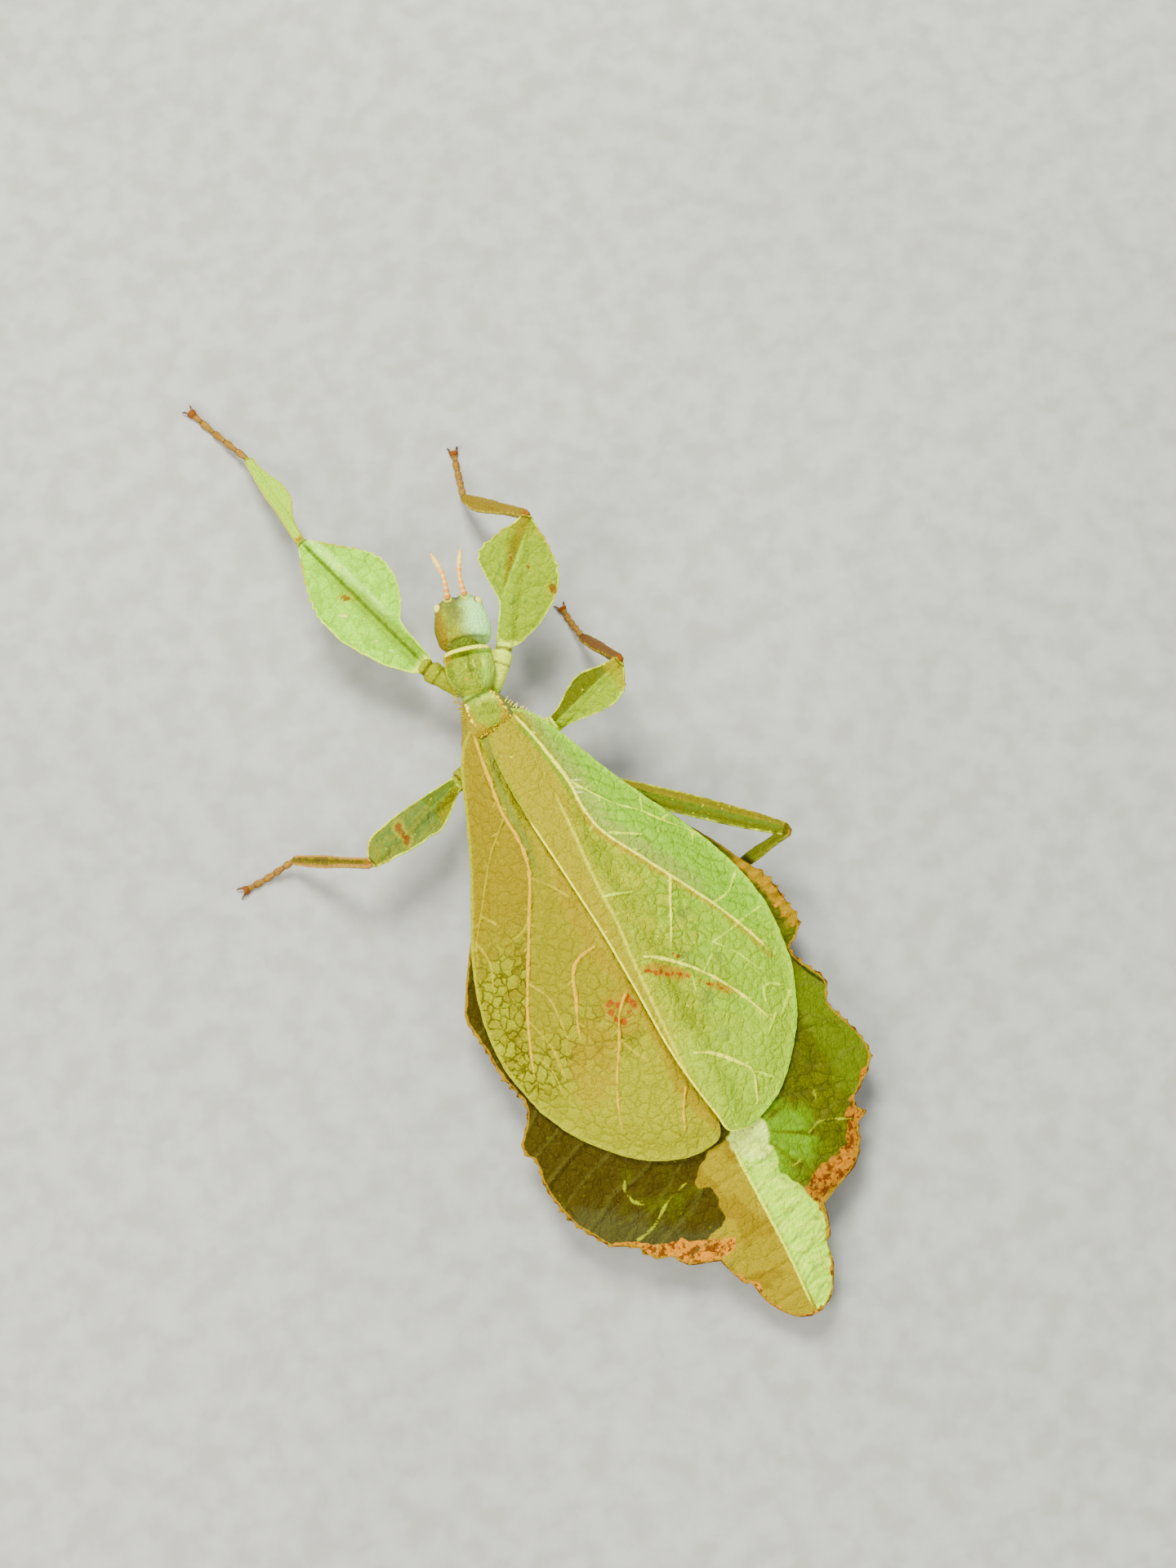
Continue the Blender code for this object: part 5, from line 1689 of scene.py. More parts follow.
@dataclass
class Thorax:
    """The neck shield, the plate before the wings with its beaded edges, and the rump that bears the legs."""

    shield: Trunk = field(default_factory=lambda: Trunk(
        (
            (-0.6, 0.6, 5.6, 7.4), (0.0, 0.95, 5.1, 7.9), (0.3, 1.4, 4.8, 8.25), (1.2, 2.05, 4.6, 8.55),
            (2.5, 2.5, 4.6, 8.7), (3.7, 2.5, 4.6, 8.5), (4.05, 2.45, 4.7, 8.35), (4.35, 2.45, 4.8, 8.75),
            (4.7, 2.25, 5.0, 8.6), (5.1, 1.6, 5.6, 7.8),
        ),
        Place(-0.05, 3.95, 16.4),
    ))
    plate: Trunk = field(default_factory=lambda: Trunk(
        (
            (-2.4, 4.4, 4.0, 7.7), (-1.4, 4.3, 3.9, 7.7), (-0.5, 4.0, 4.0, 7.8), (-0.1, 3.8, 4.1, 8.4),
            (0.6, 3.5, 4.2, 8.7), (1.6, 2.9, 4.3, 8.6), (2.6, 2.4, 4.5, 8.55), (3.3, 2.0, 4.7, 8.4),
            (3.75, 1.7, 5.0, 8.1), (4.6, 1.2, 5.4, 7.6),
        ),
        Place(0, 0, 0),
    ))
    rump: Trunk = field(default_factory=lambda: Trunk(
        (
            (-10.6, 4.0, 3.2, 7.9), (-9.4, 4.3, 3.0, 8.0), (-8.0, 4.7, 2.7, 8.1), (-5.0, 4.7, 3.2, 7.9),
            (-2.7, 4.45, 3.9, 7.7), (-1.6, 4.2, 4.0, 7.6),
        ),
        Place(0, 0, 0),
    ))
    shield_half_width: float = 1.65

    def build(self) -> None:
        """Makes the thorax skin, its beads, spines and bristles."""
        shells = [self._neck(), self._pronotum(), self._mesonotum(), self._rump()]
        shells += [*self._beads(), *self._spines()]
        add_piece("thorax_skin", shells, ["pronotum", "mesothorax", "metathorax"])

    def _neck(self) -> Shell:
        """The soft neck inside both rims.

        Returns:
            The neck's skin.
        """
        path = bent_line([(0.3, 6.6, 6.6), (1.1, 8.2, 6.7), (1.9, 10.2, 6.8)], 0.15)
        rings = tube(path, np.full(len(path), 1.75), 40, 0.9)
        return Shell(rings, THORAX, {"groove": 0.7 * np.ones((len(path), 1))})

    def _pronotum(self) -> Shell:
        """The neck shield with its pale front rim and median furrow.

        Returns:
            The shield's skin.
        """
        rings, across, up = self.shield.grid()
        x, y, _ = np.moveaxis(rings, -1, 0)
        over = ease(0.35, 0.75, up)
        furrow = bump(x, 0.15) * ease(1.0, 1.6, y) * (1 - ease(3.9, 4.1, y)) * over
        cross = bump(y - 2.2 + 0.15 * x * x, 0.2) * over * (1 - ease(1.2, 1.9, np.abs(x)))
        pits = sum(
            bump(np.hypot((x - at[0]) / 0.6, y - at[1]), 0.45)
            for at in ((-0.7, 3.2), (0.7, 3.1), (-0.9, 1.3), (0.8, 1.2))
        )
        side = bump(np.abs(across) - 0.95, 0.05) * ease(0.3, 0.5, up) * ease(0.2, 0.9, y)
        rim = ease(4.2, 4.38, y) * (1 - ease(4.62, 4.85, y)) * ease(0.3, 0.55, up)
        behind = bump(y - 4.02, 0.12) * ease(0.3, 0.5, up)
        rise = -0.12 * furrow - 0.06 * cross + 0.08 * side + 0.1 * rim - 0.1 * pits * over - 0.12 * behind
        rise = rise + (0.06 * GRAIN(rings, 0.4) + 0.07 * GRAIN(rings, 1.1)) * over * (1 - rim)
        rings = rings + rise[..., None] * np.array((0.1, 0.0, 1.0))
        dashes = sum(patch(x, y, (at, 2.9), (0.1, 0.7), 6 * at) for at in (-0.32, 0.36))
        glow = sum(
            patch(x, y, at, size)
            for at, size in (((-1.0, 2.7), (0.7, 1.7)), ((0.95, 3.1), (0.35, 1.1)), ((-0.2, 1.5), (0.7, 0.8)))
        )
        masks = {
            "pale": ease(-0.1, 1.9, x) * ease(0.3, 0.6, up), "under": 1 - ease(0.25, 0.5, up),
            "white": 0.45 * bump(x - 1.3, 0.5) * over * bump(y - 3.0, 0.9),
            # Painted shade in the median furrow, the cross furrow, the pits and the step behind the rim.
            "groove": np.clip(0.6 * furrow + 0.3 * cross + 0.4 * pits * over + 0.35 * behind, 0, 1),
            "orange": patch(x, y, (-2.1, 4.0), (0.6, 0.7)) * ease(0.3, 0.5, up), "rim": rim,
            "thin_rim": np.maximum(side, bump(y - 0.15, 0.2) * ease(0.3, 0.5, up)),
            "dash": 0.6 * np.clip(dashes, 0, 1) * over,
            "dot": patch(x, y, (-0.65, 1.5), (0.22, 0.22)) * over,
            "centre": 0.85 * np.clip(glow, 0, 1) * over,
        }
        return Shell(self.shield.place.set(rings), THORAX, masks)

    def _mesonotum(self) -> Shell:
        """The plate between the neck shield and the wings, with the flanks below it.

        Returns:
            The plate's skin.
        """
        rings, across, up = self.plate.grid()
        x, y, z = np.moveaxis(rings, -1, 0)
        edge = self.shield_half_width
        over = ease(0.5, 0.8, up)
        flank = ease(edge - 0.1, edge + 0.3, np.abs(x)) * ease(0.3, 0.6, up)
        drop = flank * 0.35 * (np.abs(x) - edge + 0.25) * ease(-1.2, -0.2, y)
        ridge = bump(np.abs(x) - edge * (0.97 - 0.1 * ease(1, 3.6, y)), 0.14) * over * ease(-0.4, 0.2, y)
        furrow = bump(x, 0.1) * over * ease(0.6, 1.2, y)
        pleat = 0.08 * np.sin(6 * z + 2 * GRAIN(rings, 1.0)) * (1 - over) * ease(0.1, 0.3, up)
        swell = bump(np.hypot(x / 1.1, (y - 1.3) / 1.6), 1.0) * over
        rise = (
            0.12 * ridge - 0.08 * furrow - drop + 0.16 * swell + 0.06 * GRAIN(rings, 0.4)
            + 0.07 * GRAIN(rings, 1.1)
        )
        rings = (
            rings + rise[..., None] * np.array((0, 0, 1.0))
            + pleat[..., None] * np.stack([np.sign(x), 0 * x, 0 * x], -1)
        )
        masks = {
            "pale": 0.8 * over * ease(1.4, 3.8, y + 0.4 * x),
            "white": 0.35 * patch(x, y, (0.6, 2.8), (1.5, 0.7)) * over,
            "centre": np.clip(1.3 - 0.8 * np.hypot((x + 0.2) / 1.4, (y - 1.2) / 1.7), 0, 1) * over,
            "dull": (
                sum(patch(x, y, at, (0.4, 0.3)) for at in ((-0.55, 1.7), (0.5, 1.3), (0.1, 2.3))) * over
            ),
            "under": 1 - ease(0.2, 0.45, up), "grey": flank * (x > 0) * ease(-2.4, -1, y),
            "orange": np.clip(
                bump(np.abs(x) - edge, 0.3) * ease(0.3, 0.6, up) * ease(-0.6, 0.2, y)
                + bump(y + 0.2, 0.3) * over
                + 0.7 * patch(x, y, (1.2, 0.1), (0.6, 0.7)) * over
                + 0.6 * patch(x, y, (-1.2, 0.2), (0.5, 0.8)) * over
                + 0.7 * flank * (x < 0),
                0, 0.9,
            ),
            # Painted shade along the furrows, and a painted shadow under the neck shield's rear edge.
            "groove": np.clip(
                0.8 * bump(y + 0.6, 0.16) * over + 0.4 * furrow + bump(z - 6.3, 0.12) * (1 - over)
                + bump(y - 3.7, 0.3) * over,
                0, 1,
            ),
        }
        return Shell(self.plate.place.set(rings), THORAX, masks)

    def _rump(self) -> Shell:
        """The thorax under the wings' roots, with the lines of its plates below.

        Returns:
            The rump's skin.
        """
        rings, across, up = self.rump.grid()
        x, y, z = np.moveaxis(rings, -1, 0)
        lines = sum(bump(y - at, 0.14) for at in (-3.4, -5.6, -8.6)) * (1 - ease(0.6, 0.8, up))
        keel = bump(x, 0.3) * (1 - ease(0.1, 0.2, up))
        rise = -0.12 * lines - 0.1 * keel + 0.05 * GRAIN(rings, 0.8)
        rings = rings + rise[..., None] * np.stack([0 * x, 0 * x, np.where(up > 0.5, 1.0, -1.0)], -1)
        masks = {"under": 1 - ease(0.3, 0.6, up), "groove": lines, "grey": 0.5 * ease(0.6, 0.9, up)}
        return Shell(self.rump.place.set(rings), THORAX, masks)

    def _beads(self) -> list[Shell]:
        """The rows of knobs along both edges of the plate before the wings.

        Returns:
            A skin for each knob.
        """
        rng = np.random.default_rng(11)
        shells = []
        for sign in (-1, 1):
            for y in np.arange(-0.2, 3.5, 0.22):
                edge = sign * self.shield_half_width * (1.0 - 0.13 * ease(1, 3.6, np.array(y)))
                top = Profile([(s[0], s[3]) for s in self.plate.stations])(y)
                size = rng.uniform(0.1, 0.21)
                middle = (edge + rng.uniform(-0.14, 0.14), y, top - 0.3 + rng.uniform(-0.06, 0.06))
                shells.append(
                    Shell(pellet(middle, (size, size * 1.1, size)), rng.choice((BEAD, BEAD, SPINE)))
                )
        for x in np.arange(-1.5, 1.6, 0.25):
            size = rng.uniform(0.1, 0.18)
            middle = (x + rng.uniform(-0.06, 0.06), -0.22 + rng.uniform(-0.06, 0.06), 8.28 - 0.06 * x * x)
            shells.append(Shell(pellet(middle, (size, size, size)), BEAD))
        return shells

    def _spines(self) -> list[Shell]:
        """Pale spines on the right flank and golden bristles beside the neck shield's left edge.

        Returns:
            A skin for each spine and bristle.
        """
        rng = np.random.default_rng(5)
        shells = []
        for share in np.linspace(0, 1, 14):
            x, y = 2.1 + 2.2 * share, 1.9 - 3.4 * share
            lean = (rng.uniform(0.4, 0.62), rng.uniform(0.1, 0.42), 0.3)
            shells.append(Shell(thorn((x, y, 7.6 - 0.6 * share), lean, 0.09), SPINE))
        for share in np.linspace(0, 1, 20):
            x, y = -1.75 - 0.5 * share + rng.uniform(-0.12, 0.12), 5.4 - 4.2 * share
            lean = (-rng.uniform(0.35, 0.65), rng.uniform(-0.1, 0.35), 0.3)
            shells.append(Shell(thorn((x, y, 7.7 + rng.uniform(-0.15, 0.1)), lean, 0.07), BRISTLE))
        return shells


# Legs


@dataclass(frozen=True)
class Markings:
    """What the lobes of one limb show.

    Attributes:
        rib: Strength of the dark line along the middle.
        band: Where the pale band beside it lies, as an offset in millimetres.
        ridge: A pale ridge line with a mustard wedge beside it, as two places (share of length, offset).
        all_over: The mask that covers the whole limb, if any.
        sides: The masks that cover its two sides, if any.
        basal: The masks that cover the two sides of its basal part.
        basal_to: The share of the length where that part ends.
        base_dark: Strength of the deeper colour towards the base.
        spots: Brown spots as (share of length, offset, radius).
        glints: White glints in the same form.
        streak: Strength of the darker streaks.
        gold: Strength of the gold towards the knee.
        rim: Strength of the pale rim.
        lobe: Strength of the lobes' own colour on a shank.
        pink: Strength of the pink, see-through edge.
    """

    rib: float = 0.8
    band: float = 0.0
    ridge: Pairs = ()
    all_over: str = ""
    sides: tuple[str, str] = ("", "")
    basal: tuple[str, str] = ("", "")
    basal_to: float = 0.36
    base_dark: float = 0.0
    spots: Pairs = ()
    glints: Pairs = ()
    streak: float = 0.2
    gold: float = 0.0
    rim: float = 1.0
    lobe: float = 0.0
    pink: float = 0.0


@dataclass
class LeafLimb:
    """A femur or tibia: a round core with a thin leafy lobe on each side, toothed between two shares."""

    start: Array
    end: Array
    lobes: tuple[Pairs, Pairs]
    core: float
    finish: Finish
    marks: Markings
    teeth: tuple[float, float] | None = None
    pitch: float = 0.85
    depth: float = 0.3
    spacing: float = 0.13
    half_across: int = 30
    taper: float = 0.35
    edge: float = 0.1

    def shell(self) -> Shell:
        """The limb's skin.

        Returns:
            The skin, with the masks of its markings.
        """
        along = self.end - self.start
        length = float(np.linalg.norm(along))
        along = along / length
        up = np.array((0, 0, 1.0)) - along[2] * along
        up /= np.linalg.norm(up)
        side = np.cross(up, along)
        x = np.linspace(-0.02 * length, 1.0 * length, round(length / self.spacing))
        high, low = self._edge(self.lobes[0], x, length, 1), self._edge(self.lobes[1], x, length, -1)
        y = bow(-low, high, 2 * self.half_across)
        x2 = np.broadcast_to(x[:, None], y.shape)
        here = np.stack([x2, y, np.full_like(y, self.start[0])], -1)
        radius = (
            self.core * (1 - self.taper * ease(0, length, x2))
            * (0.55 + 0.45 * ease(-0.02 * length, 0.5, x2))
        )
        bulge = 1 + 0.18 * bump(x2 - 0.97 * length, 0.05 * length)
        core = radius * bulge * np.sqrt(np.maximum(0, 1 - (y / (radius * 1.6)) ** 2)) ** 1.4
        to_edge = np.minimum(high[:, None] - y, y + low[:, None])
        leaf = self.edge + 0.12 * ease(0, 1.2, to_edge)
        half = np.maximum(core, leaf)
        ripple = 0.12 * GRAIN(here, 1.6) * ease(0.5, 2.5, np.abs(y)) + 0.05 * GRAIN(here, 0.6)
        groove = 0.1 * bump(y, 0.12) * self.marks.rib
        rib = 0.07 * bump(y - self.marks.band, 0.2) * (self.marks.band != 0)
        top = half + ripple - groove + rib + 0.05 * bump(to_edge - 0.18, 0.1)
        bottom = -half + ripple
        loop_x, loop_y, loop_z = round_plate(x2, x2), round_plate(y, y), round_plate(top, bottom)
        rings = self.start + loop_x[..., None] * along + loop_y[..., None] * side + loop_z[..., None] * up
        rings[..., 2] = np.maximum(rings[..., 2], 0.0)
        masks = self._masks(x2 / length, y, to_edge, length, here)
        return Shell(rings, self.finish, {name: both_faces(mask, 0.8) for name, mask in masks.items()})

    def _edge(self, lobe: Pairs, x: Array, length: float, sign: int) -> Array:
        """How far the lobe reaches at each ring, with its teeth.

        Args:
            lobe: The lobe's width at shares of the length.
            x: Each ring's place along the limb.
            length: The limb's length.
            sign: 1 for the first lobe, -1 for the second.

        Returns:
            The reach at each ring.
        """
        line = bent_line([(share * length, width) for share, width in lobe], 0.2)
        width = np.interp(x, line[:, 0], line[:, 1])
        width = width * np.sqrt(np.clip((x + 0.03 * length) / (0.06 * length), 0.05, 1))
        width = width * np.sqrt(np.clip((1.01 * length - x) / (0.03 * length), 0.05, 1))
        here = np.stack([x, width * sign, np.full_like(x, length)], -1)
        width = width + 0.05 * GRAIN(here, 0.7) * ease(0.8, 1.5, width)
        if self.teeth:
            low, high = self.teeth[0] * length, self.teeth[1] * length
            tooth = np.maximum(0, 1 - np.abs((x / self.pitch) % 1 - 0.55) / 0.42) ** 1.3
            size = self.depth * (0.8 + 0.4 * GRAIN(here, 1.1))
            width = width + size * tooth * ease(low, low + 1, x) * (1 - ease(high - 0.6, high, x))
        return width

    def _masks(
        self, share: Array, y: Array, to_edge: Array, length: float, here: Array
    ) -> dict[str, Array]:
        """The masks of the limb's markings.

        Args:
            share: Each point's share of the length.
            y: Its offset from the middle.
            to_edge: Its distance from the lobe's edge.
            length: The limb's length.
            here: The place that its noise is read at.

        Returns:
            The masks by name.
        """
        marks = self.marks
        run = share * length
        toothed = ease(*self.teeth, share) * (share < self.teeth[1]) if self.teeth else 0 * share
        masks = {
            "rib": marks.rib * bump(y, 0.24) * ease(0.02, 0.1, share) * (1 - ease(0.95, 1.0, share)),
            "band": bump(y - marks.band, 0.55) * (marks.band != 0) * ease(0.25, 0.45, share),
            "base_dark": marks.base_dark * (1 - ease(0.3, 1.6, np.abs(y))) * (1 - ease(0.5, 0.9, share)),
            "streak": (
                marks.streak * (0.5 + 0.5 * np.sin(4 * y + 4 * GRAIN(here, 2.5))) * ease(0.05, 0.2, share)
            ),
            "rim": marks.rim * (1 - ease(0.05, 0.26, to_edge)), "gold": marks.gold * ease(0.7, 0.95, share),
            "tooth": toothed * (1 - ease(0.1, 0.4, to_edge)), "joint": bump(share - 0.988, 0.01),
            "lobe": marks.lobe * ease(0.45, 0.8, np.abs(y)), "orange": 1 - ease(0.0, 0.06, share),
            "pale_end": 1 - ease(0.0, 0.09, share), "pink": marks.pink * (1 - ease(0.1, 0.4, to_edge)),
        }
        for name, places, grow in (
            ("spot", marks.spots, 1.0), ("halo", marks.spots, 1.8), ("glint", marks.glints, 1.0)
        ):
            wide, thin = (2.0, 0.45) if name == "glint" else (1.3 * grow, 0.8 * grow)
            found = [
                patch(run, y, (at * length, off), (wide * size, thin * size), 35)
                for at, off, size in places
            ]
            masks[name] = np.clip(sum(found, 0 * share), 0, 1)
        if marks.ridge:
            (near, low), (far, high) = marks.ridge
            line = low + (near - share) / (near - far) * (high - low)
            masks["ridge"] = bump(y - line, 0.14) * ease(0.2, 0.5, share)
            wide = 1.9 * ease(0.25, 0.95, share) + 0.1
            masks["mustard"] = (
                ease(-0.1, 0.4, y - line) * (1 - ease(0.3, 1.2, (y - line) / wide)) * ease(0.2, 0.6, share)
            )
        basal = 1 - ease(-0.012, 0.012, share - marks.basal_to - 0.02 * GRAIN(here, 0.8))
        fields = [(marks.all_over, 1.0)]
        fields += [(name, ease(-0.15, 0.15, sign * y)) for name, sign in zip(marks.sides, (1, -1))]
        fields += [(name, basal * ease(-0.15, 0.15, sign * y)) for name, sign in zip(marks.basal, (1, -1))]
        for name, field_mask in fields:
            if name:
                masks[name] = np.maximum(masks.get(name, 0 * share), field_mask)
        if marks.basal[0]:
            masks[marks.all_over] = masks[marks.all_over] * (1 - basal)
        return masks


FRONT_OUTER = (
    (0.0, 1.0), (0.1, 2.1), (0.2, 3.0), (0.33, 3.75), (0.45, 4.2), (0.57, 4.2), (0.68, 3.7), (0.79, 2.75),
    (0.89, 1.7), (0.98, 0.65),
)
FRONT_INNER = (
    (0.0, 0.95), (0.14, 1.2), (0.28, 1.45), (0.33, 2.2), (0.4, 3.4), (0.48, 4.2), (0.56, 4.55),
    (0.65, 4.45), (0.74, 3.7), (0.83, 2.6), (0.92, 1.5), (0.98, 0.7),
)
FRONT_INNER_TILTED = (
    (0.0, 0.9), (0.16, 1.0), (0.31, 1.2), (0.39, 1.85), (0.47, 2.8), (0.55, 3.6), (0.63, 4.0), (0.69, 3.9),
    (0.76, 3.2), (0.85, 2.2), (0.93, 1.1), (0.98, 0.65),
)
MID_FORWARD = ((0.0, 0.7), (0.25, 1.25), (0.53, 1.8), (0.7, 1.95), (0.84, 1.95), (0.93, 1.35), (0.99, 0.65))
MID_BACKWARD = (
    (0.0, 0.7), (0.1, 0.8), (0.2, 1.45), (0.39, 2.3), (0.5, 2.1), (0.69, 1.75), (0.92, 0.85), (0.99, 0.65),
)
MID_NARROW = (
    (0.0, 0.65), (0.18, 1.0), (0.34, 1.55), (0.49, 1.9), (0.62, 1.8), (0.79, 1.05), (0.9, 0.65),
    (0.99, 0.6),
)
MID_WIDE = (
    (0.0, 0.65), (0.22, 1.3), (0.37, 1.9), (0.52, 2.4), (0.68, 2.75), (0.82, 2.45), (0.91, 1.7),
    (0.99, 0.8),
)
HIND_LOBE = ((0.0, 0.7), (0.2, 0.95), (0.5, 1.1), (0.8, 0.95), (0.99, 0.65))
SHANK_LOBE = (
    (0.0, 0.5), (0.15, 0.55), (0.28, 0.85), (0.43, 1.6), (0.6, 1.6), (0.75, 1.05), (0.87, 0.6), (0.99, 0.5),
)
SHANK_LOBE_TILTED = (
    (0, 0.5), (0.25, 0.55), (0.45, 0.85), (0.65, 1.1), (0.8, 1.0), (0.93, 0.6), (0.99, 0.5)
)
PLAIN_SHANK = ((0.0, 0.5), (0.35, 0.5), (0.6, 0.65), (0.99, 0.5))


@dataclass
class Leg:
    """One leg from the coxa to the claws.

    Attributes:
        name: The leg's name in the solids.
        joints: Root in the body, femur's base, knee, ankle and toe.
        femur: The femur's two lobes.
        tibia: The tibia's two lobes.
        femur_marks: The femur's markings.
        tibia_marks: The tibia's markings.
        teeth: The toothed shares of the femur.
        pitch: The distance between its teeth.
    """

    name: str
    joints: Pairs
    femur: tuple[Pairs, Pairs]
    tibia: tuple[Pairs, Pairs]
    femur_marks: Markings
    tibia_marks: Markings
    teeth: tuple[float, float] | None = None
    pitch: float = 0.85
    femur_core: float = 0.62
    shank_core: float = 0.45
    coxa_radius: float = 1.1
    coxa_neck: float = 0.6
    tarsus_radius: float = 0.34
    claw_length: float = 0.9
    claw_radius: float = 0.15
    claw_bend: Pairs = (
        (-0.1, 0.0, 0), (0.25, 0.2, 0.12), (0.6, 0.34, 0.12), (0.85, 0.46, -0.04), (0.95, 0.5, -0.2)
    )

    def build(self) -> None:
        """Makes the leg's pieces."""
        root, base, knee, ankle, toe = (np.array(point, float) for point in self.joints)
        thigh = LeafLimb(
            base, knee, self.femur, self.femur_core, LEAF, self.femur_marks, self.teeth, self.pitch
        )
        nodes = [f"{self.name}_coxa", f"{self.name}_femur"]
        add_piece(f"{self.name}_thigh", [self._coxa(root, base, knee), thigh.shell()], nodes)
        shank = LeafLimb(knee, ankle, self.tibia, self.shank_core, SHANK, self.tibia_marks)
        foot, claws = self._foot(ankle, toe)
        nodes = [f"{self.name}_tibia", f"{self.name}_tarsus"]
        add_piece(f"{self.name}_shank", [shank.shell(), foot], nodes)
        add_piece(f"{self.name}_claws", claws)

    def _coxa(self, root: Array, base: Array, knee: Array) -> Shell:
        """The short stout joint on the body, with the ring before the femur.

        Args:
            root: Where it leaves the body.
            base: Where the femur starts.
            knee: Where that ends.

        Returns:
            The coxa's skin.
        """
        thigh = (knee - base) / np.linalg.norm(knee - base)
        path = bent_line([root, root + 0.6 * (base - root), base, base + 0.9 * thigh], 0.12)
        share = np.linspace(0, 1, len(path))
        neck = Profile(
            ((0, self.coxa_neck), (0.55, 0.95), (0.72, 1.0), (0.8, 0.72), (0.86, 0.82), (1, 0.5))
        )(share)
        rings = tube(path, self.coxa_radius * neck, 32, 0.85)
        rings = rings + (0.06 * GRAIN(rings, 0.7))[..., None]
        right = 1.0 if self.name.endswith("right") else 0.0
        masks = {
            "joint": (bump(share - 0.8, 0.04) + 0.7 * bump(share - 0.55, 0.03))[:, None],
            "warm": np.full((len(path), 1), 1 - 0.5 * right),
            "olive": np.full((len(path), 1), 0.3 * (1 - right)),
            # On the right coxa the pale paint is partly its own colour and partly painted light that
            # brightens it where it lies in shade.
            "pale_end": 0.9 * right * ease(0.05, 0.3, share)[:, None],
            "gold": np.full((len(path), 1), 0.5 * (1 - right)),
        }
        return Shell(rings, LEAF, masks)

    def _foot(self, ankle: Array, toe: Array) -> tuple[Shell, list[Shell]]:
        """The five-jointed tarsus with its pad, and its two claws.

        Args:
            ankle: Where the tarsus starts.
            toe: Where it ends.

        Returns:
            The tarsus, and its two claws.
        """
        bend = ankle + 0.35 * (toe - ankle)
        bend[2] = 0.5 * ankle[2]
        flat = [(*(ankle + share * (toe - ankle))[:2], toe[2] - 0.08) for share in (0.6, 0.8, 1.0)]
        path = bent_line([ankle, bend, *flat], 0.08)
        share = np.linspace(0, 1, len(path))
        phase = (share * 5) % 1
        swell = Profile(((0, 0.7), (0.35, 0.86), (0.75, 1.12), (0.95, 1.0), (1, 0.7)))(phase)
        swell = np.where(
            share > 0.9, Profile(((0.9, 0.8), (0.95, 1.35), (0.985, 1.45), (1, 0.7)))(share), swell
        )
        rings = tube(path, self.tarsus_radius * swell, 18, 0.92)
        joint = bump(np.minimum(phase, 1 - phase), 0.09) * (share < 0.93)
        masks = {
            "joint": joint[:, None], "pad": ease(0.86, 0.93, share)[:, None],
            "pink": 0.5 * np.ones((len(path), 1)),
        }
        along = (toe - ankle) / np.linalg.norm(toe - ankle)
        side = np.cross(along, (0, 0, 1))
        side /= np.linalg.norm(side)
        claws = []
        for sign in (-1, 1):
            start = path[-1] - 0.25 * along + 0.14 * sign * side
            places = [
                start + self.claw_length * (forward * along + out * sign * side) + np.array((0, 0, rise))
                for forward, out, rise in self.claw_bend
            ]
            line = bent_line(places, 0.06)
            run = np.linspace(0, 1, len(line))
            shape = tube(line, self.claw_radius * (1.02 - run) ** 0.7, 10)
            claws.append(Shell(shape, CLAW, {"point": ease(0.4, 0.9, run)[:, None]}))
        return Shell(rings, SHANK, masks), claws


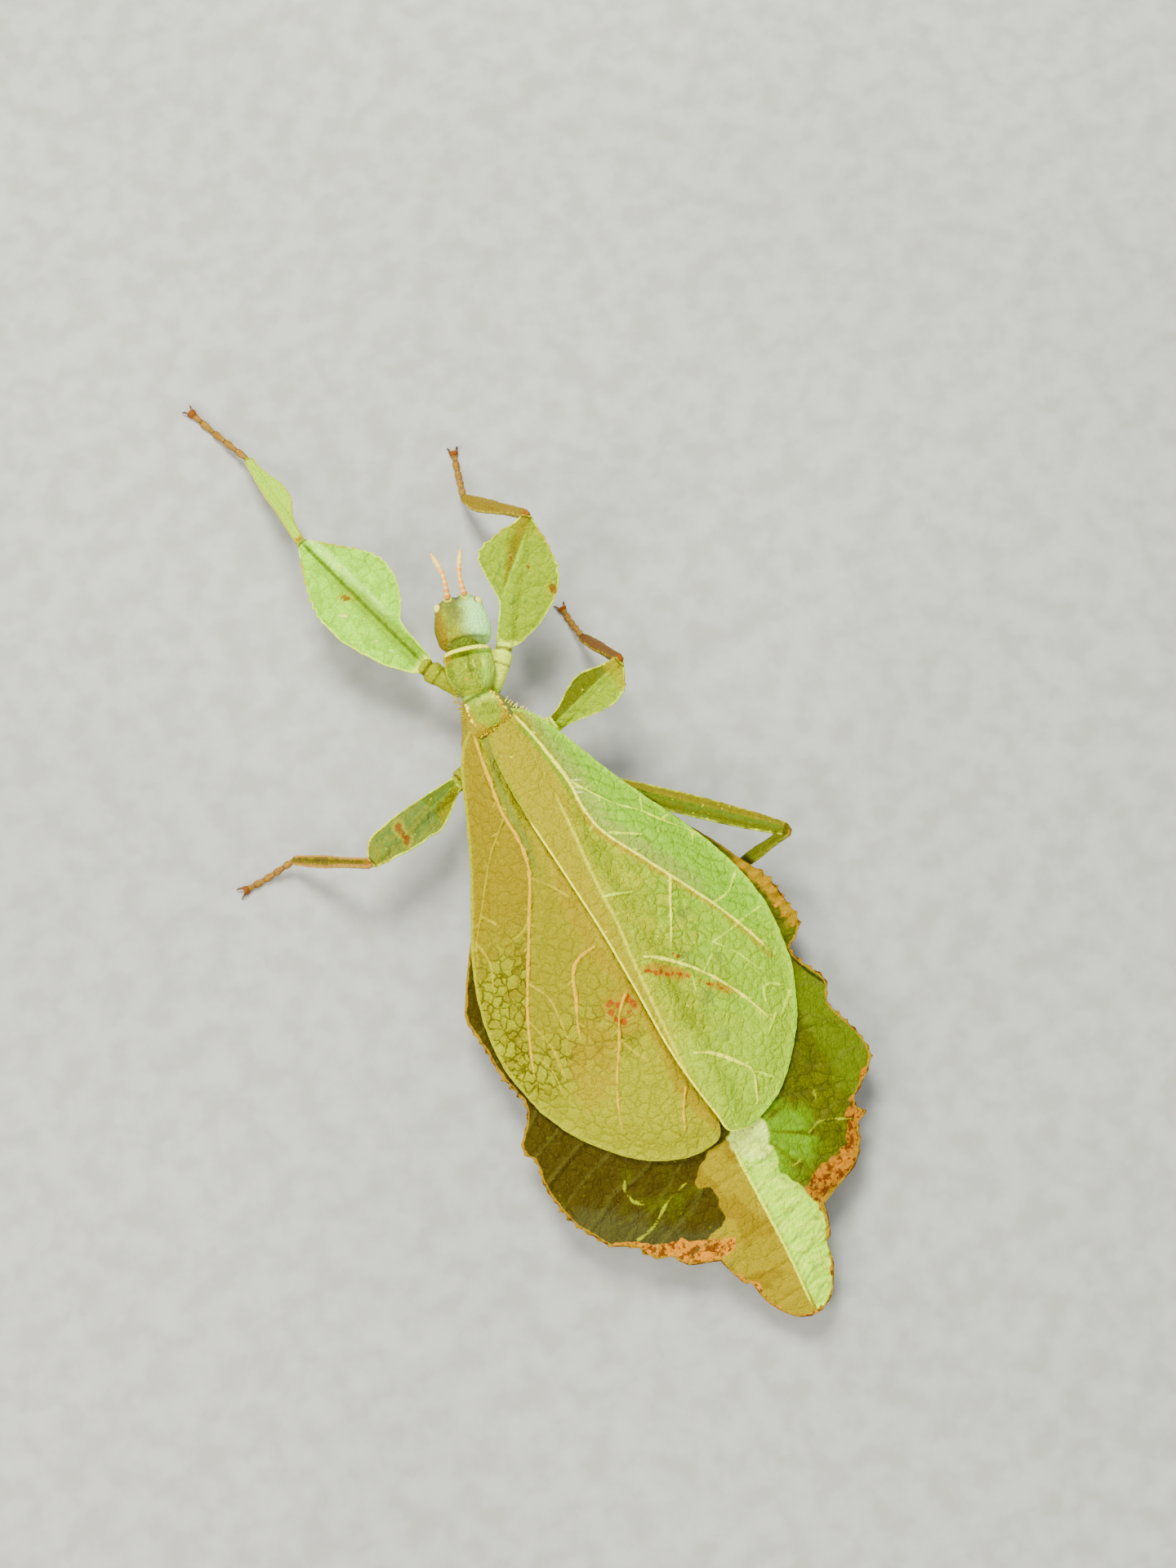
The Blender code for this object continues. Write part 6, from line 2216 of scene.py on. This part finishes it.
def all_legs() -> list[Leg]:
    """The six legs in the photograph's pose.

    Returns:
        The legs from front to hind, the left one of each pair first.
    """
    plain = (PLAIN_SHANK, PLAIN_SHANK)
    return [
        Leg(
            "front_left",
            ((-1, 5.4, 5.5), (-2.85, 9.2, 5.8), (-7.87, 26.74, 6.5), (-8.13, 39.1, 1.5), (-11, 47.3, 0.35)),
            (FRONT_OUTER, FRONT_INNER), (PLAIN_SHANK, SHANK_LOBE),
            Markings(
                rib=1.0, band=-0.85, base_dark=1.0, streak=0.1, spots=((0.594, 0.84, 0.42),),
                glints=((0.53, 2.3, 0.28), (0.3, 1.7, 0.14), (0.2, 1.3, 0.14), (0.41, 2.6, 0.12)),
            ),
            Markings(rib=0.35, all_over="lobe", pink=0.3, glints=((0.66, -0.33, 0.15),)), (0.55, 0.93),
        ),
        Leg(
            "front_right",
            ((1.2, 3.4, 5.4), (5, 7.5, 5.8), (12.6, 16.55, 12), (9.36, 24.7, 1.5), (11, 30.2, 0.35)),
            (FRONT_INNER_TILTED, FRONT_OUTER), (SHANK_LOBE_TILTED, PLAIN_SHANK),
            Markings(
                rib=0.0, ridge=((0.948, -0.52), (0.336, 1.06)), all_over="warm", streak=0.35, gold=0.5,
                spots=((0.664, 0.81, 0.24), (0.627, -1.0, 0.2), (0.495, -3.8, 0.5)),
            ),
            Markings(rib=0.3, all_over="mustard", pink=0.3, rim=0.5), (0.55, 0.93),
        ),
        Leg(
            "mid_left",
            (
                (-3, -1.6, 5.2), (-5.3, -2.5, 5.3), (-16.99, -6.04, 7), (-23.4, -0.8, 1.5),
                (-29.2, -0.9, 0.35),
            ),
            (MID_BACKWARD, MID_FORWARD), plain,
            Markings(
                rib=0.4, all_over="grey", basal=("mustard", "olive"), streak=0.8, gold=0.4,
                spots=((0.64, -0.8, 0.46), (0.652, -0.35, 0.34), (0.66, 0.15, 0.3), (0.665, 0.75, 0.44)),
                rim=0.8,
            ),
            Markings(rib=0.8, pink=0.9, rim=0.5), (0.82, 0.95), 0.4,
        ),
        Leg(
            "mid_right",
            ((3, -1.4, 5.2), (5.3, -2, 5.5), (13.57, -0.64, 11), (12.87, 5.7, 1.6), (12.7, 9.9, 0.35)),
            (MID_NARROW, MID_WIDE), plain,
            Markings(rib=0.3, all_over="warm", sides=("olive", ""), streak=0.3, gold=0.9, rim=0.7),
            Markings(rib=0.4, all_over="brown", rim=0.4), (0.76, 0.94), 0.5,
        ),
        Leg(
            "hind_left",
            ((-3, -6.2, 4), (-5, -7.9, 3.5), (-12.7, -25.6, 2.2), (-9.6, -36.4, 1.1), (-10.6, -42.6, 0.35)),
            (HIND_LOBE, HIND_LOBE), plain,
            Markings(all_over="warm", sides=("", "olive"), streak=0.3, rim=0.35),
            Markings(rib=0.5, rim=0.4),
        ),
        Leg(
            "hind_right",
            ((3.2, -5.8, 4.2), (5.2, -7.5, 3.9), (19.9, -23, 9), (14.7, -22.6, 1.3), (9.9, -26.4, 0.35)),
            (HIND_LOBE, HIND_LOBE), plain,
            Markings(all_over="warm", sides=("mustard", "olive"), streak=0.3, rim=0.35),
            Markings(rib=0.4, all_over="green", rim=0.4),
        ),
    ]


# Floor, light and camera


@dataclass
class Studio:
    """A pale floor, soft lights and the photograph's camera."""

    camera_at: tuple[float, float, float] = (-20.19, -56.33, 259.28)
    forward: tuple[float, float, float] = (0.11655, 0.212, -0.9703)
    right: tuple[float, float, float] = (0.8763, -0.4818, 0.0)
    lens: float = 60.94
    floor_size: float = 1400.0

    def build(self) -> None:
        """Makes the floor, the lights and the camera."""
        self._floor()
        self._light("key", (60, 230, 330), 150, 36.0, (1.0, 1.0, 0.97))
        self._light("warm", (-280, -60, 260), 260, 24.0, (1.0, 0.96, 0.88))
        self._light("fill", (60, -380, 200), 300, 9.0, (1.0, 0.98, 0.95))
        world = bpy.data.worlds.new("studio")
        world.use_nodes = True
        background = world.node_tree.nodes["Background"]
        background.inputs["Color"].default_value = (0.94, 0.96, 1.0, 1)
        background.inputs["Strength"].default_value = 0.8
        bpy.context.scene.world = world
        self._camera()

    def _floor(self) -> None:
        """A wide floor, well beyond the view."""
        half = self.floor_size / 2 * MM
        mesh = bpy.data.meshes.new("floor")
        corners = [(-half, -half, 0), (half, -half, 0), (half, half, 0), (-half, half, 0)]
        mesh.from_pydata(corners, [], [(0, 1, 2, 3)])
        mesh.materials.append(FLOOR.material())
        floor = bpy.data.objects.new("floor", mesh)
        bpy.context.scene.collection.objects.link(floor)

    def _light(
        self, name: str, at: Sequence[float], size: float, power: float, tint: Sequence[float]
    ) -> None:
        """A square soft light that looks at the insect.

        Args:
            name: Its name.
            at: Its place in millimetres.
            size: Its width in millimetres.
            power: Its power in tenths of a watt.
            tint: Its colour.
        """
        data = bpy.data.lights.new(name, "AREA")
        data.size = size * MM
        data.energy = power * 0.1
        data.color = tint
        light = bpy.data.objects.new(name, data)
        light.location = Vector(at) * MM
        light.rotation_euler = (-light.location).to_track_quat("-Z", "Y").to_euler()
        bpy.context.scene.collection.objects.link(light)

    def _camera(self) -> None:
        """The camera where the photograph was taken."""
        data = bpy.data.cameras.new("photo_view")
        data.sensor_fit = "VERTICAL"
        data.sensor_height = 36
        data.lens = self.lens
        data.clip_start, data.clip_end = 0.01, 10
        camera = bpy.data.objects.new("photo_view", data)
        forward, right = Vector(self.forward), Vector(self.right)
        up = right.cross(forward)
        camera.matrix_world = Matrix.Translation(Vector(self.camera_at) * MM) @ Matrix(
            (right, up, -forward)
        ).transposed().to_4x4()
        bpy.context.scene.collection.objects.link(camera)
        bpy.context.scene.camera = camera


RIGHT_INNER = (
    (2.3, -1.0), (1.9, -0.4), (1.2, 0.1), (-0.2, 0.5), (-1.0, 0.8), (-1.4, 1.7), (-1.7, 3.5), (-1.8, 7.0),
    (-1.75, 11.0), (-1.5, 15.0), (-1.25, 19.0), (-1.0, 23.5), (-0.9, 29.0), (-0.8, 36.0), (-0.4, 40.0),
    (0.2, 43.4), (0.6, 45.4), (2.4, 45.9),
)
LEFT_INNER = (
    (2.3, -1.0), (1.7, -0.6), (1.0, -0.2), (0.4, 0.6), (0.2, 2.2), (0.0, 4.2), (-0.4, 6.6), (-1.2, 10.0),
    (-1.2, 14.0), (-1.0, 20.0), (-0.8, 27.0), (-0.6, 34.0), (-0.5, 40.0), (-0.4, 43.5), (0.4, 45.5),
    (2.4, 45.9),
)
RIGHT_OUTER = (
    (3.7, 8.5), (5.1, 10.6), (6.5, 12.4), (8.6, 14.2), (9.9, 15.7), (12.1, 17.9), (12.9, 19.0),
    (14.1, 21.3), (14.9, 23.5),
)
LEFT_OUTER = ((3.6, 8.6), (5.0, 9.8), (6.6, 11.2), (8.5, 13.6), (10.1, 15.7), (11.7, 17.7), (12.9, 20.4))
RIGHT_VEINS = (
    ((1.4, 27.4), (3.5, 28.7), (6.1, 31.4), (7.9, 34.1), (9.1, 36.7), (9.9, 38.9)),
    ((1.2, 37.6), (3.1, 38.6), (4.5, 40.1), (5.5, 41.5), (4.9, 43.3), (4.2, 45.0)),
    ((7.9, 21.2), (6.9, 22.8), (6.1, 24.3), (5.2, 26.0), (3.9, 28.2)),
)
RIGHT_VEINLETS = (
    ((4.6, 14.9), (7.6, 16.5)), ((5.8, 17.8), (5.0, 18.8)), ((0.8, 20.4), (4.0, 21.2)),
    ((12.6, 27.9), (14.9, 27.5)), ((5.9, 31.1), (7.8, 29.7)), ((4.7, 31.0), (4.2, 32.8)),
    ((10.0, 36.2), (10.8, 34.7), (12.6, 35.5)), ((10.9, 37.9), (13.2, 36.0)), ((10.4, 37.6), (8.5, 39.2)),
    ((5.5, 41.5), (7.4, 43.2)), ((12.7, 36.7), (12.6, 35.5)),
    ((8.2, 28.9), (9.7, 30.5), (11.1, 33.1), (11.8, 33.4)), ((4.9, 10.4), (6.6, 12.6)),
    ((8.6, 14.2), (9.4, 12.2)), ((9.9, 15.7), (11.2, 15.4)), ((12.1, 17.9), (11.4, 19.8)),
    ((10.3, 25.4), (12.2, 25.0), (14.2, 23.2)), ((8.2, 28.9), (10.9, 28.4), (12.6, 27.9)),
)
LEFT_VEINS = (
    ((1.9, 29.6), (3.4, 31.2), (4.5, 33.3), (6.1, 35.7), (7.6, 38.8), (8.2, 40.9)),
    ((1.0, 39.9), (2.2, 41.7), (3.3, 44.2)),
    ((2.2, 24.1), (3.8, 24.3), (4.5, 24.6), (5.4, 25.7), (6.0, 27.4), (7.0, 29.5), (7.8, 31.8)),
)
LEFT_VEINLETS = (
    ((4.2, 15.3), (3.1, 16.7), (1.7, 19.2)), ((4.2, 33.2), (3.7, 34.6), (2.8, 36.4)),
    ((6.0, 18.3), (7.6, 19.4), (9.0, 19.2)), ((9.2, 24.0), (8.2, 26.4), (8.6, 30.8)),
    ((10.9, 27.0), (10.2, 30.5), (10.6, 34.0)), ((10.1, 15.7), (9.0, 17.6)),
    ((11.7, 17.7), (11.5, 20.2), (12.6, 23.0)), ((12.2, 29.7), (11.2, 32.0), (11.4, 35.0)),
)


def main() -> None:
    """Builds the insect over the frame, piece by piece."""
    logging.basicConfig(level=logging.INFO, format="%(message)s")
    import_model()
    Studio().build()
    log.info("studio")
    wings = (
        Tegmen(Side.LEFT, WING_LEFT, "wing_left", LEFT_INNER, LEFT_OUTER, LEFT_VEINS, LEFT_VEINLETS),
        Tegmen(Side.RIGHT, WING_RIGHT, "wing_right", RIGHT_INNER, RIGHT_OUTER, RIGHT_VEINS, RIGHT_VEINLETS),
    )
    for wing in wings:
        wing.build()
        log.info("wing %s", wing.side.name.lower())
    Abdomen().build()
    log.info("abdomen")
    Thorax().build()
    log.info("thorax")
    Head().build()
    log.info("head")
    for leg in all_legs():
        leg.build()
        log.info("leg %s", leg.name)
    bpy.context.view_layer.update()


if __name__ == "__main__":
    main()
